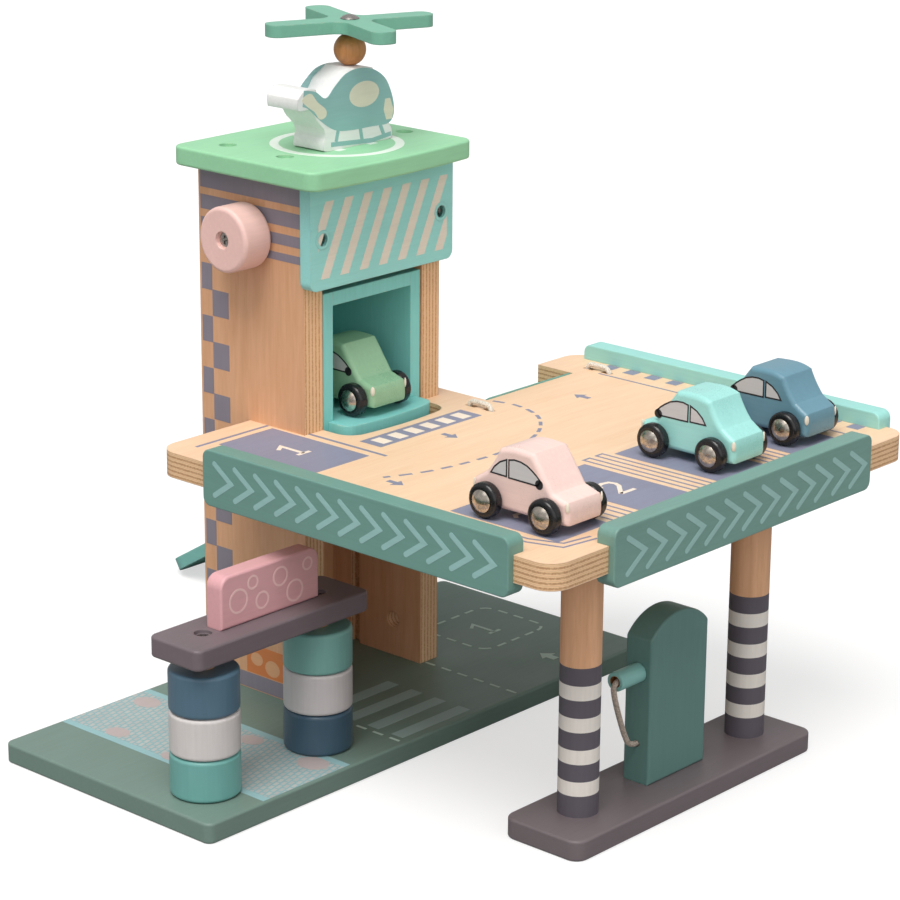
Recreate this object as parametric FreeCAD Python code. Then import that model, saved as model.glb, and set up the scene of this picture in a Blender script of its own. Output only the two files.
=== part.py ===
"""Wooden toy parking garage with a lift, a ramp, a car wash, a fuel pump, cars and a helicopter.

All sizes are millimetres. +Z is up, +X is the side that the lift opens to, and +Y runs along the
base board from the car wash to the open bay. The model is first laid out from the rear corner of the
base board, and is then moved so that the origin is the bottom centre of everything.
"""
import FreeCAD, Part
import math
import os
from FreeCAD import Vector

# Sheet materials and clearances
PLY_THICK = 15.0
PLY_MEDIUM = 12.0
SLIDE_GAP = 0.6
TURN_GAP = 0.08
REST_GAP = 0.3
EDGE_ROUND = 1.5
SOFT_ROUND = 3.0

# Base board
BASE_DEPTH = 168.0
BASE_WIDTH = 371.0
BASE_THICK = PLY_MEDIUM
BASE_CORNER_RADIUS = 5.0

# Lift tower
TOWER_REAR_X = 7.0
TOWER_DEPTH = 84.0
TOWER_LEFT_Y = 152.0
TOWER_WIDTH = 113.0
TOWER_TOP_Z = 325.0
BACK_PANEL_THICK = 6.0
BACK_PANEL_INSET = 5.0
GUIDE_GROOVE_X = 26.0
GUIDE_GROOVE_WIDTH = 7.2
GUIDE_GROOVE_DEPTH = 4.0
SIDE_HOLE_DIAMETER = 10.0
SIDE_HOLE_FROM_FRONT = 22.5
SIDE_HOLE_ABOVE_BASE = 23.0
ROOF_THICK = 11.0
ROOF_REAR_OVERHANG = 7.0
ROOF_FRONT_OVERHANG = 22.0
ROOF_LEFT_OVERHANG = 15.0
ROOF_RIGHT_OVERHANG = 5.0
ROOF_BOW = 4.0
ROOF_CORNER_RADIUS = 8.0
HEADER_THICK = 8.0
HEADER_HEIGHT = 61.0
HEADER_OVERHANG = 2.5
HEADER_CORNER_RADIUS = 5.0

# Parking deck
DECK_TOP_Z = 179.0
DECK_THICK = PLY_THICK
DECK_REAR_X = 47.0
DECK_FRONT_X = 337.5
DECK_LEFT_Y = 79.0
DECK_EAR_WIDTH = 37.5
DECK_CORNER_RADIUS = 13.0
DECK_HALVING_X = 69.0
LIFT_CUT_GAP = 6.5
LIFT_CUT_RADIUS = 12.0
RAMP_NOTCH_LEFT_GAP = 11.5
RAMP_NOTCH_WIDTH = 80.0
RAMP_NOTCH_FRONT_X = 119.3
EAR_REAR_X = 91.0

# Deck rails
RAIL_THICK = PLY_MEDIUM
RAIL_TOP_Z = 188.5
RAIL_BOTTOM_Z = 156.0
RAIL_DADO_DEPTH = 8.0
RAIL_CORNER_RADIUS = 5.0
LEFT_RAIL_REAR_X = 88.0
LEFT_RAIL_LENGTH = 223.0
FRONT_RAIL_LEFT_Y = 122.5
FRONT_RAIL_LENGTH = 229.0
REAR_RAIL_REAR_X = 103.0
REAR_RAIL_LENGTH = 219.5

# Post foot, posts and fuel pump
FOOT_REAR_X = 273.7
FOOT_DEPTH = 53.4
FOOT_LEFT_Y = 116.0
FOOT_WIDTH = 212.5
FOOT_THICK = PLY_MEDIUM
FOOT_CORNER_RADIUS = 8.0
POST_DIAMETER = 22.6
POST_X = 298.5
POST_FIRST_Y = 149.8
POST_SPACING = 149.6
PUMP_REAR_X = 289.0
PUMP_THICK = 18.0
PUMP_LEFT_Y = 200.0
PUMP_WIDTH = 50.5
PUMP_SHOULDER_HEIGHT = 85.0
PUMP_ARCH_RISE = 11.5
NOZZLE_DIAMETER = 11.0
NOZZLE_LENGTH = 38.0
NOZZLE_EXPOSED = 20.0
NOZZLE_Z = 77.0
NOZZLE_RECESS_DIAMETER = 6.4
NOZZLE_RECESS_DEPTH = 3.9
HOSE_DIAMETER = 3.2
HOSE_HOLE_Z = 35.0
HOSE_HOLE_DEPTH = 6.0

# Lift cabin, shown level with the deck
CABIN_SIDE_GAP = 1.0
CABIN_REAR_GAP = 2.5
CABIN_WALL_THICK = 8.0
CABIN_BACK_THICK = 4.0
CABIN_TOP_THICK = 8.0
CABIN_OPENING_HEIGHT = 68.0
CABIN_FLOOR_THICK = 10.0
CABIN_FLOOR_ABOVE_DECK = 3.5
CABIN_FLOOR_HOUSING = 4.0
LIP_REACH = 15.0
LIP_BOW = 3.5
LIP_CORNER_RADIUS = 8.0
GUIDE_TONGUE_WIDTH = 6.2
GUIDE_TONGUE_BITE = 3.0
EYE_HEIGHT = 6.0
EYE_WIRE = 1.6

# Lift winder
WINDER_Z = 289.5
WINDER_FROM_REAR = 41.8
KNOB_DIAMETER = 38.0
KNOB_THICK = 21.0
KNOB_GAP = 1.0
KNOB_ROUND = 2.5
SHAFT_DIAMETER = 10.0
SHAFT_IN_KNOB = 12.0
SHAFT_IN_FAR_PANEL = 11.0
LIFT_CORD_DIAMETER = 2.4

# Ramp, with its foot on the floor
RAMP_LENGTH = 333.0
RAMP_THICK = 8.0
RAMP_SIDE_GAP = 2.5
RAMP_ABOVE_DECK = 1.0
RAMP_END_RADIUS = 15.0
RAMP_PIN_DIAMETER = 7.0
RAMP_PIN_BELOW_DECK = 0.5
RAMP_PIN_FORWARD = 7.7
RAMP_PIN_REACH = 22.0
BATTEN_HEIGHT = 8.0
BATTEN_FRONT = 5.0
BATTEN_REAR = 13.0
BATTEN_GAP = 0.6
LOOP_CORD_DIAMETER = 3.0
LOOP_SPACING = 18.0
LOOP_FROM_NOTCH = 14.5
LOOP_ABOVE_DECK = 3.0
LOOP_BEND_RADIUS = 5.0
LOOP_SLACK = 1.8
LOOP_BRIDGE = 6.0

# Car wash
WASH_FROM_FRONT = 35.0
WASH_FIRST_Y = 31.0
WASH_SPACING = 87.8
WASH_DOWEL_DIAMETER = 12.0
RING_DIAMETER = 39.2
RING_HEIGHT = 24.0
RING_COUNT = 3
RING_ROUND = 2.0
BEAM_DEPTH = 39.0
BEAM_WIDTH = 133.0
BEAM_THICK = PLY_MEDIUM
BEAM_BOTTOM_Z = 92.0
BEAM_CORNER_RADIUS = 5.0
SIGN_THICK = 12.0
SIGN_WIDTH = 75.0
SIGN_HEIGHT = 30.0
SIGN_CORNER_RADIUS = 7.0
SIGN_LEFT_Y = 39.0

# Screws
SCREW_HEAD_DIAMETER = 8.4
SCREW_HEAD_HEIGHT = 3.0
SCREW_SHANK_DIAMETER = 4.0
SCREW_LENGTH = 26.0
SCREW_SINK = 2.2
SCREW_BORE_DIAMETER = 10.0
SCREW_CROSS_WIDTH = 1.2
SCREW_CROSS_LENGTH = 5.0
SCREW_CROSS_DEPTH = 1.4
ROOF_SCREW_INSET = 17.0
ROOF_SCREW_SPACING = 46.0
HEADER_SCREW_RISE = 29.0

# Helicopter on the roof
HELI_X = 66.0
HELI_THICK = 24.0
HELI_TAIL_Y = 161.5
HELI_LENGTH = 78.5
HELI_HEIGHT = 44.0
HELI_TAIL_HEIGHT = 37.3
HELI_SKID_HEIGHT = 9.0
HELI_BALL_DIAMETER = 18.6
HELI_BALL_BITE = 0.4
HELI_HUB_FROM_TAIL = 54.5
ROTOR_REACH = 51.0
ROTOR_BLADE_WIDTH = 15.0
ROTOR_THICK = 7.0
ROTOR_TURN = 68.0
ROTOR_GAP = 0.3
WASHER_DIAMETER = 10.0
WASHER_THICK = 1.2
PIN_DIAMETER = 3.0
PIN_HEAD_DIAMETER = 11.0
PIN_HEAD_RISE = 2.2
PIN_LENGTH = 14.0

# Cars
CAR_LENGTH = 65.0
CAR_BODY_WIDTH = 29.0
CAR_HEIGHT = 35.0
CAR_GROUND = 5.0
CAR_SIDE_ROUND = 3.0
CAR_WAIST = 7.0
CAR_BUMPER_RADIUS = 4.0
CAR_CROWN_X = 29.0
CAR_FENDER_RISE = 18.0
CAR_HOOD_LENGTH = 8.0
CAR_TRUNK_LENGTH = 8.5
WHEELBASE = 40.4
REAR_WHEEL_FROM_TAIL = 12.5
TYRE_DIAMETER = 19.4
TYRE_WIDTH = 7.0
TYRE_ROUND = 2.2
TYRE_SIDE_GAP = 0.4
AXLE_PIN_DIAMETER = 4.0
CAP_DIAMETER = 12.4
CAP_RISE = 2.4
AXLE_PIN_DEPTH = 10.0
PINK_CAR_TAIL_X = 249.5
PINK_CAR_Y = 131.5
REVERSED_CAR_TAIL_X = 313.0
AQUA_CAR_Y = 274.5
BLUE_CAR_Y = 342.5
LIFT_CAR_TAIL_FROM_BACK = 15.0

# Derived places
TOWER_FRONT_X = TOWER_REAR_X + TOWER_DEPTH
TOWER_RIGHT_Y = TOWER_LEFT_Y + TOWER_WIDTH
SHAFT_LEFT_Y = TOWER_LEFT_Y + PLY_THICK
SHAFT_RIGHT_Y = TOWER_RIGHT_Y - PLY_THICK
SHAFT_MID_Y = (SHAFT_LEFT_Y + SHAFT_RIGHT_Y) / 2
BACK_PANEL_FRONT_X = TOWER_REAR_X + BACK_PANEL_INSET + BACK_PANEL_THICK
ROOF_TOP_Z = TOWER_TOP_Z + ROOF_THICK
DECK_BOTTOM_Z = DECK_TOP_Z - DECK_THICK
NOTCH_LEFT_Y = TOWER_RIGHT_Y + RAMP_NOTCH_LEFT_GAP
NOTCH_RIGHT_Y = NOTCH_LEFT_Y + RAMP_NOTCH_WIDTH
DECK_RIGHT_Y = NOTCH_RIGHT_Y + DECK_EAR_WIDTH
CABIN_LEFT_Y = SHAFT_LEFT_Y + CABIN_SIDE_GAP
CABIN_RIGHT_Y = SHAFT_RIGHT_Y - CABIN_SIDE_GAP
CABIN_REAR_X = BACK_PANEL_FRONT_X + CABIN_REAR_GAP
CABIN_FRONT_X = TOWER_FRONT_X - SLIDE_GAP
FLOOR_TOP_Z = DECK_TOP_Z + CABIN_FLOOR_ABOVE_DECK
FLOOR_BOTTOM_Z = FLOOR_TOP_Z - CABIN_FLOOR_THICK
CABIN_CEILING_Z = FLOOR_TOP_Z + CABIN_OPENING_HEIGHT
CABIN_TOP_Z = CABIN_CEILING_Z + CABIN_TOP_THICK
WINDER_X = TOWER_REAR_X + WINDER_FROM_REAR
RAMP_TOP_Z = DECK_TOP_Z + RAMP_ABOVE_DECK
RAMP_END_X = RAMP_NOTCH_FRONT_X - REST_GAP
RAMP_PIN_X = RAMP_NOTCH_FRONT_X + RAMP_PIN_FORWARD
RAMP_PIN_Z = DECK_BOTTOM_Z - RAMP_PIN_BELOW_DECK - RAMP_PIN_DIAMETER / 2
LOOP_YS = (NOTCH_LEFT_Y - LOOP_FROM_NOTCH, NOTCH_RIGHT_Y + LOOP_FROM_NOTCH)
WASH_X = BASE_DEPTH - WASH_FROM_FRONT
WASH_YS = (WASH_FIRST_Y, WASH_FIRST_Y + WASH_SPACING)
POST_YS = (POST_FIRST_Y, POST_FIRST_Y + POST_SPACING)
BEAM_TOP_Z = BEAM_BOTTOM_Z + BEAM_THICK
BEAM_LEFT_Y = (WASH_YS[0] + WASH_YS[1] - BEAM_WIDTH) / 2
WHEEL_RADIUS = TYRE_DIAMETER / 2
FAR = 1000.0

NOZZLE_X = PUMP_REAR_X + PUMP_THICK / 2
NOZZLE_END_Y = PUMP_LEFT_Y - NOZZLE_EXPOSED
HOSE_END_Y = PUMP_LEFT_Y + HOSE_HOLE_DEPTH / 2

# The pump's hose leaves the nozzle's end recess, hangs in a slack curve and enters the pump's side.
HOSE_ROUTE = (
    (NOZZLE_X, NOZZLE_END_Y + NOZZLE_RECESS_DEPTH, NOZZLE_Z),
    (NOZZLE_X + 0.9, NOZZLE_END_Y - 2.8, NOZZLE_Z - 0.4),
    (299.6, 177.7, 69.8),
    (299.1, 180.9, 61.4),
    (298.4, 185.3, 51.8),
    (298.1, 189.2, 43.2),
    (NOZZLE_X, 194.0, HOSE_HOLE_Z),
    (NOZZLE_X, HOSE_END_Y, HOSE_HOLE_Z),
)


def box(low, high):
    """Return a box between two corners."""
    size = [high[i] - low[i] for i in range(3)]
    return Part.makeBox(size[0], size[1], size[2], Vector(*low))


def cylinder(radius, height, start, axis=(0, 0, 1)):
    """Return a cylinder from its start point along an axis."""
    return Part.makeCylinder(radius, height, Vector(*start), Vector(*axis))


def face_from(points, to_vector):
    """Return the flat face whose outline has straight sides and three-point arcs.

    Each entry is (u, v) for a corner, or ((u, v), (u, v)) for an arc's middle and its end.
    """
    start = points[0]
    here = to_vector(*start)
    edges = []
    for entry in points[1:] + (start,):
        if isinstance(entry[0], tuple):
            middle, end = entry
            edges.append(Part.Arc(here, to_vector(*middle), to_vector(*end)).toShape())
        else:
            end = entry
            edges.append(Part.LineSegment(here, to_vector(*end)).toShape())
        here = to_vector(*end)
    return Part.Face(Part.Wire(edges))


def smooth_outline(stations, to_vector):
    """Return a closed wire through stations of (u, v, heading in degrees), as tangent arcs and lines."""
    edges = []
    for (u1, v1, heading1), (u2, v2, heading2) in zip(stations, stations[1:]):
        start = Vector(u1, v1, 0)
        end = Vector(u2, v2, 0)
        leave = Vector(math.cos(math.radians(heading1)), math.sin(math.radians(heading1)), 0)
        arrive = Vector(math.cos(math.radians(heading2)), math.sin(math.radians(heading2)), 0)
        span = end - start
        spread = 2 * (1 - leave.dot(arrive))
        along = span.dot(leave + arrive)
        if spread < 1e-9:
            reach = span.dot(span) / (4 * span.dot(arrive))
        else:
            reach = (math.sqrt(along ** 2 + 2 * spread * span.dot(span)) - along) / spread
        joint = (start + leave * reach + end - arrive * reach) * 0.5
        edges.append(tangent_arc(start, joint, leave, to_vector))
        edges.append(tangent_arc(end, joint, arrive * -1, to_vector))
    return Part.Wire(edges)


def tangent_arc(start, end, tangent, to_vector):
    """Return the arc that leaves a point along a tangent and ends at another point."""
    chord = end - start
    across = tangent - chord * (tangent.dot(chord) / chord.dot(chord))
    if across.Length < 1e-6:
        return Part.LineSegment(to_vector(start.x, start.y), to_vector(end.x, end.y)).toShape()
    half_turn = tangent.getAngle(chord) / 2
    middle = (start + end) * 0.5 + across.normalize() * (chord.Length / 2 * math.tan(half_turn))
    points = [to_vector(p.x, p.y) for p in (start, middle, end)]
    return Part.Arc(*points).toShape()


def plan_plate(points, bottom, height):
    """Return a plate from an outline seen from above."""
    face = face_from(points, lambda u, v: Vector(u, v, bottom))
    return face.extrude(Vector(0, 0, height))


def side_plate(points, left, width):
    """Return a plate from an outline in the XZ plane, extruded along +Y."""
    face = face_from(points, lambda u, v: Vector(u, left, v))
    return face.extrude(Vector(0, width, 0))


def front_plate(points, rear, depth):
    """Return a plate from an outline in the YZ plane, extruded along +X."""
    face = face_from(points, lambda u, v: Vector(rear, u, v))
    return face.extrude(Vector(depth, 0, 0))


def edges_along(shape, axis, test=None):
    """Return the straight edges of a shape that run along an axis."""
    found = []
    for edge in shape.Edges:
        if edge.Curve.TypeId != "Part::GeomLine":
            continue
        direction = edge.tangentAt(edge.FirstParameter)
        if abs(abs(direction.dot(Vector(*axis))) - 1) > 1e-6:
            continue
        if test is None or test(edge.CenterOfMass):
            found.append(edge)
    return found


def rounded_board(low, high, corner, edge_round=EDGE_ROUND, axis=(0, 0, 1)):
    """Return a board with round corners in its own plane and softened rims."""
    board = box(low, high)
    board = board.makeFillet(corner, edges_along(board, axis))
    return soften(board, edge_round, axis)


def soften(board, radius, axis):
    """Round the two rims of a board that face along an axis."""
    direction = Vector(*axis)
    rims = []
    for face in board.Faces:
        if face.Surface.TypeId != "Part::GeomPlane":
            continue
        if abs(abs(face.normalAt(0, 0).dot(direction)) - 1) < 1e-6:
            rims.extend(face.OuterWire.Edges)
    return board.makeFillet(radius, rims)


def screw(place, axis):
    """Return a countersunk screw with a cross recess, its head's face at place and facing axis."""
    head = SCREW_HEAD_DIAMETER / 2
    shank = SCREW_SHANK_DIAMETER / 2
    profile = (
        (0.0, 0.0), (head, 0.0), (head, -SCREW_HEAD_HEIGHT / 3), (shank, -SCREW_HEAD_HEIGHT),
        (shank, -SCREW_LENGTH + shank), (0.0, -SCREW_LENGTH),
    )
    face = face_from(profile, lambda u, v: Vector(u, 0, v))
    body = face.revolve(Vector(0, 0, 0), Vector(0, 0, 1), 360)
    for length, width in ((SCREW_CROSS_LENGTH, SCREW_CROSS_WIDTH), (SCREW_CROSS_WIDTH, SCREW_CROSS_LENGTH)):
        low = (-length / 2, -width / 2, -SCREW_CROSS_DEPTH)
        body = body.cut(box(low, (length / 2, width / 2, SCREW_CROSS_DEPTH)))
    return turned(body, place, axis)


def turned(shape, place, axis):
    """Turn a shape made along +Z onto an axis and move it to a place."""
    moved = shape.copy()
    moved.Placement = FreeCAD.Placement(
        Vector(*place), FreeCAD.Rotation(Vector(0, 0, 1), Vector(*axis)))
    return moved


def screw_bore(place, axis):
    """Return what a screw's hole takes away: a round sink and the close hole for its shank."""
    under_head = -SCREW_SINK - SCREW_HEAD_HEIGHT
    sink = cylinder(SCREW_BORE_DIAMETER / 2, 2 * SCREW_SINK, (0, 0, -SCREW_SINK))
    seat = cylinder(SCREW_HEAD_DIAMETER / 2, SCREW_HEAD_HEIGHT, (0, 0, under_head))
    hole = cylinder(SCREW_SHANK_DIAMETER / 2, SCREW_LENGTH, (0, 0, -SCREW_SINK - SCREW_LENGTH))
    return turned(sink.fuse([seat, hole]), place, axis)


def roof_screw_places():
    """Return where the roof's four screws go into the two side panels."""
    xs = (TOWER_REAR_X + ROOF_SCREW_INSET, TOWER_REAR_X + ROOF_SCREW_INSET + ROOF_SCREW_SPACING)
    ys = (TOWER_LEFT_Y + PLY_THICK / 2, TOWER_RIGHT_Y - PLY_THICK / 2)
    return [(x, y, ROOF_TOP_Z) for x in xs for y in ys]


def header_screw_places():
    """Return where the header's two screws go into the side panels' front edges."""
    z = TOWER_TOP_Z - HEADER_HEIGHT + HEADER_SCREW_RISE
    ys = (TOWER_LEFT_Y + PLY_THICK / 2, TOWER_RIGHT_Y - PLY_THICK / 2)
    return [(TOWER_FRONT_X + HEADER_THICK, y, z) for y in ys]


def beam_screw_places():
    """Return where the car wash beam's screws go into the dowels."""
    return [(WASH_X, y, BEAM_TOP_Z) for y in WASH_YS]


def base_board():
    """The base board lies flat on the floor."""
    return rounded_board((0, 0, 0), (BASE_DEPTH, BASE_WIDTH, BASE_THICK), BASE_CORNER_RADIUS)


def tower_panel(left_y, inner_sign):
    """Return a tower side panel, notched for the deck and grooved for the lift's tongue."""
    panel = box((TOWER_REAR_X, left_y, BASE_THICK), (TOWER_FRONT_X, left_y + PLY_THICK, TOWER_TOP_Z))
    halving = box((DECK_HALVING_X, left_y, DECK_BOTTOM_Z), (FAR, left_y + PLY_THICK, DECK_TOP_Z))
    panel = panel.cut(halving)
    groove_x = TOWER_REAR_X + GUIDE_GROOVE_X
    inner_y = left_y + PLY_THICK if inner_sign > 0 else left_y
    low_y = inner_y - GUIDE_GROOVE_DEPTH if inner_sign > 0 else inner_y
    groove = box((groove_x, low_y, 0), (groove_x + GUIDE_GROOVE_WIDTH, low_y + GUIDE_GROOVE_DEPTH, FAR))
    panel = panel.cut(groove)
    for place in roof_screw_places():
        panel = panel.cut(screw_bore(place, (0, 0, 1)))
    for place in header_screw_places():
        panel = panel.cut(screw_bore(place, (1, 0, 0)))
    return panel


def tower_panel_left():
    """The left side panel, which the winder's shaft passes through."""
    panel = tower_panel(TOWER_LEFT_Y, 1)
    start = (WINDER_X, TOWER_LEFT_Y, WINDER_Z)
    return panel.cut(cylinder(SHAFT_DIAMETER / 2 + TURN_GAP, PLY_THICK, start, (0, 1, 0)))


def tower_panel_right():
    """The right side panel, with the shaft's blind bearing and a round hole near its foot."""
    panel = tower_panel(SHAFT_RIGHT_Y, -1)
    depth = SHAFT_IN_FAR_PANEL + REST_GAP
    start = (WINDER_X, SHAFT_RIGHT_Y, WINDER_Z)
    panel = panel.cut(cylinder(SHAFT_DIAMETER / 2 + TURN_GAP, depth, start, (0, 1, 0)))
    hole_x = TOWER_FRONT_X - SIDE_HOLE_FROM_FRONT
    hole_z = BASE_THICK + SIDE_HOLE_ABOVE_BASE
    start = (hole_x, SHAFT_RIGHT_Y, hole_z)
    return panel.cut(cylinder(SIDE_HOLE_DIAMETER / 2, PLY_THICK, start, (0, 1, 0)))


def tower_back_panel():
    """The thin back panel between the two side panels."""
    rear = BACK_PANEL_FRONT_X - BACK_PANEL_THICK
    return box((rear, SHAFT_LEFT_Y, BASE_THICK), (BACK_PANEL_FRONT_X, SHAFT_RIGHT_Y, TOWER_TOP_Z))


def tower_roof():
    """The roof board, whose front edge bows out."""
    rear = TOWER_REAR_X - ROOF_REAR_OVERHANG
    front = TOWER_FRONT_X + ROOF_FRONT_OVERHANG
    left = TOWER_LEFT_Y - ROOF_LEFT_OVERHANG
    right = TOWER_RIGHT_Y + ROOF_RIGHT_OVERHANG
    middle = (front + ROOF_BOW, (left + right) / 2)
    outline = ((rear, left), (front, left), (middle, (front, right)), (rear, right))
    roof = plan_plate(outline, TOWER_TOP_Z, ROOF_THICK)
    roof = roof.makeFillet(ROOF_CORNER_RADIUS, edges_along(roof, (0, 0, 1)))
    roof = soften(roof, EDGE_ROUND, (0, 0, 1))
    for place in roof_screw_places():
        roof = roof.cut(screw_bore(place, (0, 0, 1)))
    return roof


def header_panel():
    """The striped panel across the tower's front, under the roof."""
    low = (TOWER_FRONT_X, TOWER_LEFT_Y - HEADER_OVERHANG, TOWER_TOP_Z - HEADER_HEIGHT)
    high = (TOWER_FRONT_X + HEADER_THICK, TOWER_RIGHT_Y + HEADER_OVERHANG, TOWER_TOP_Z)
    panel = box(low, high)
    lower = edges_along(panel, (1, 0, 0), lambda centre: centre.z < low[2] + 1)
    panel = panel.makeFillet(HEADER_CORNER_RADIUS, lower)
    for place in header_screw_places():
        panel = panel.cut(screw_bore(place, (1, 0, 0)))
    return panel


def countersunk_screws():
    """The screws of the roof, the header and the car wash beam."""
    uprights = roof_screw_places() + beam_screw_places()
    screws = [screw((x, y, z - SCREW_SINK), (0, 0, 1)) for x, y, z in uprights]
    screws += [screw((x - SCREW_SINK, y, z), (1, 0, 0)) for x, y, z in header_screw_places()]
    return Part.makeCompound(screws)


def lip_width():
    """Return the width of the lift's floor, which is housed in its walls."""
    return CABIN_RIGHT_Y - CABIN_LEFT_Y - 2 * (CABIN_WALL_THICK - CABIN_FLOOR_HOUSING)


def lift_cut():
    """Return the space that the deck leaves for the lift and its lip."""
    front = CABIN_FRONT_X + LIP_REACH + LIFT_CUT_GAP
    middle = (front + LIP_BOW, SHAFT_MID_Y)
    left = SHAFT_LEFT_Y
    right = SHAFT_RIGHT_Y
    rear = DECK_REAR_X - 1
    outline = ((rear, left), (front, left), (middle, (front, right)), (rear, right))
    cut = plan_plate(outline, DECK_BOTTOM_Z - 1, DECK_THICK + 2)
    fronts = edges_along(cut, (0, 0, 1), lambda centre: centre.x > TOWER_FRONT_X)
    return cut.makeFillet(LIFT_CUT_RADIUS, fronts)


def loop_slots(loop_y):
    """Return the two slots that a ramp cord passes through, on either side of a bridge."""
    half = LOOP_CORD_DIAMETER / 2 + REST_GAP
    reach = LOOP_SPACING / 2 + half
    slots = []
    for side in (-1, 1):
        xs = sorted((RAMP_PIN_X + side * LOOP_BRIDGE / 2, RAMP_PIN_X + side * reach))
        slots.append(box((xs[0], loop_y - half, DECK_BOTTOM_Z), (xs[1], loop_y + half, DECK_TOP_Z)))
    return slots


def deck():
    """The parking deck, with its openings for the lift, the ramp and the ramp's cords."""
    outline = (
        (DECK_REAR_X, DECK_LEFT_Y), (DECK_FRONT_X, DECK_LEFT_Y), (DECK_FRONT_X, DECK_RIGHT_Y),
        (EAR_REAR_X, DECK_RIGHT_Y), (EAR_REAR_X, NOTCH_RIGHT_Y), (RAMP_NOTCH_FRONT_X, NOTCH_RIGHT_Y),
        (RAMP_NOTCH_FRONT_X, NOTCH_LEFT_Y), (DECK_REAR_X, NOTCH_LEFT_Y),
    )
    plate = plan_plate(outline, DECK_BOTTOM_Z, DECK_THICK)

    def outer_corner(centre):
        return centre.y < DECK_LEFT_Y + 1 or centre.y > DECK_RIGHT_Y - 1

    plate = plate.makeFillet(DECK_CORNER_RADIUS, edges_along(plate, (0, 0, 1), outer_corner))
    slots = box((DECK_REAR_X - 1, TOWER_LEFT_Y, 0), (DECK_HALVING_X, TOWER_RIGHT_Y, FAR))
    plate = plate.cut(slots).cut(lift_cut())
    for loop_y in LOOP_YS:
        for slot in loop_slots(loop_y):
            plate = plate.cut(slot)
    return plate


def rail(low, high, axis, dado_low, dado_high):
    """Return a deck rail with round lower corners and a groove over the deck's edge."""
    board = box(low, high)
    across = (0, 1, 0) if axis == "x" else (1, 0, 0)
    board = board.makeFillet(RAIL_CORNER_RADIUS, edges_along(board, across))
    board = soften(board, EDGE_ROUND / 2, across)
    return board.cut(box(dado_low, dado_high))


def rail_left():
    """The chevron rail along the deck's left side."""
    outer = DECK_LEFT_Y - (RAIL_THICK - RAIL_DADO_DEPTH)
    low = (LEFT_RAIL_REAR_X, outer, RAIL_BOTTOM_Z)
    high = (LEFT_RAIL_REAR_X + LEFT_RAIL_LENGTH, outer + RAIL_THICK, RAIL_TOP_Z)
    return rail(low, high, "x", (0, DECK_LEFT_Y, DECK_BOTTOM_Z), (FAR, FAR, DECK_TOP_Z))


def rail_front():
    """The chevron rail along the deck's front."""
    outer = DECK_FRONT_X + (RAIL_THICK - RAIL_DADO_DEPTH)
    low = (outer - RAIL_THICK, FRONT_RAIL_LEFT_Y, RAIL_BOTTOM_Z)
    high = (outer, FRONT_RAIL_LEFT_Y + FRONT_RAIL_LENGTH, RAIL_TOP_Z)
    return rail(low, high, "y", (0, 0, DECK_BOTTOM_Z), (DECK_FRONT_X, FAR, DECK_TOP_Z))


def rail_rear():
    """The plain rail along the deck's right side."""
    outer = DECK_RIGHT_Y + (RAIL_THICK - RAIL_DADO_DEPTH)
    low = (REAR_RAIL_REAR_X, outer - RAIL_THICK, RAIL_BOTTOM_Z)
    high = (REAR_RAIL_REAR_X + REAR_RAIL_LENGTH, outer, RAIL_TOP_Z)
    return rail(low, high, "x", (0, 0, DECK_BOTTOM_Z), (FAR, DECK_RIGHT_Y, DECK_TOP_Z))


def post_foot():
    """The plank that carries the posts and the pump."""
    high = (FOOT_REAR_X + FOOT_DEPTH, FOOT_LEFT_Y + FOOT_WIDTH, FOOT_THICK)
    return rounded_board((FOOT_REAR_X, FOOT_LEFT_Y, 0), high, FOOT_CORNER_RADIUS)


def deck_posts():
    """The two round posts under the deck."""
    height = DECK_BOTTOM_Z - FOOT_THICK
    radius = POST_DIAMETER / 2
    return Part.makeCompound([cylinder(radius, height, (POST_X, y, FOOT_THICK)) for y in POST_YS])


def pump_body():
    """The fuel pump: a thick board with an arched top, a nozzle bore and a hose hole."""
    left = PUMP_LEFT_Y
    right = PUMP_LEFT_Y + PUMP_WIDTH
    shoulder = FOOT_THICK + PUMP_SHOULDER_HEIGHT
    crown = ((left + right) / 2, shoulder + PUMP_ARCH_RISE)
    outline = ((left, FOOT_THICK), (right, FOOT_THICK), (right, shoulder), (crown, (left, shoulder)))
    body = front_plate(outline, PUMP_REAR_X, PUMP_THICK)
    shoulders = edges_along(body, (1, 0, 0), lambda centre: centre.z > shoulder - 1)
    body = body.makeFillet(SOFT_ROUND, shoulders)
    body = soften(body, EDGE_ROUND, (1, 0, 0))
    depth = NOZZLE_LENGTH - NOZZLE_EXPOSED + REST_GAP
    bore = cylinder(NOZZLE_DIAMETER / 2 + TURN_GAP, depth + 1, (NOZZLE_X, left - 1, NOZZLE_Z), (0, 1, 0))
    hole_start = (NOZZLE_X, left - 1, HOSE_HOLE_Z)
    hole = cylinder(HOSE_DIAMETER / 2 + REST_GAP, HOSE_HOLE_DEPTH + 1, hole_start, (0, 1, 0))
    return body.cut(bore).cut(hole)


def pump_nozzle():
    """The painted dowel that plugs into the pump's side, with a recess for the hose's end."""
    start = (NOZZLE_X, NOZZLE_END_Y, NOZZLE_Z)
    dowel = cylinder(NOZZLE_DIAMETER / 2, NOZZLE_LENGTH, start, (0, 1, 0))
    rims = [edge for edge in dowel.Edges if edge.Curve.TypeId == "Part::GeomCircle"]
    dowel = dowel.makeFillet(EDGE_ROUND / 2, rims)
    return dowel.cut(cylinder(NOZZLE_RECESS_DIAMETER / 2, NOZZLE_RECESS_DEPTH, start, (0, 1, 0)))


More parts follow.
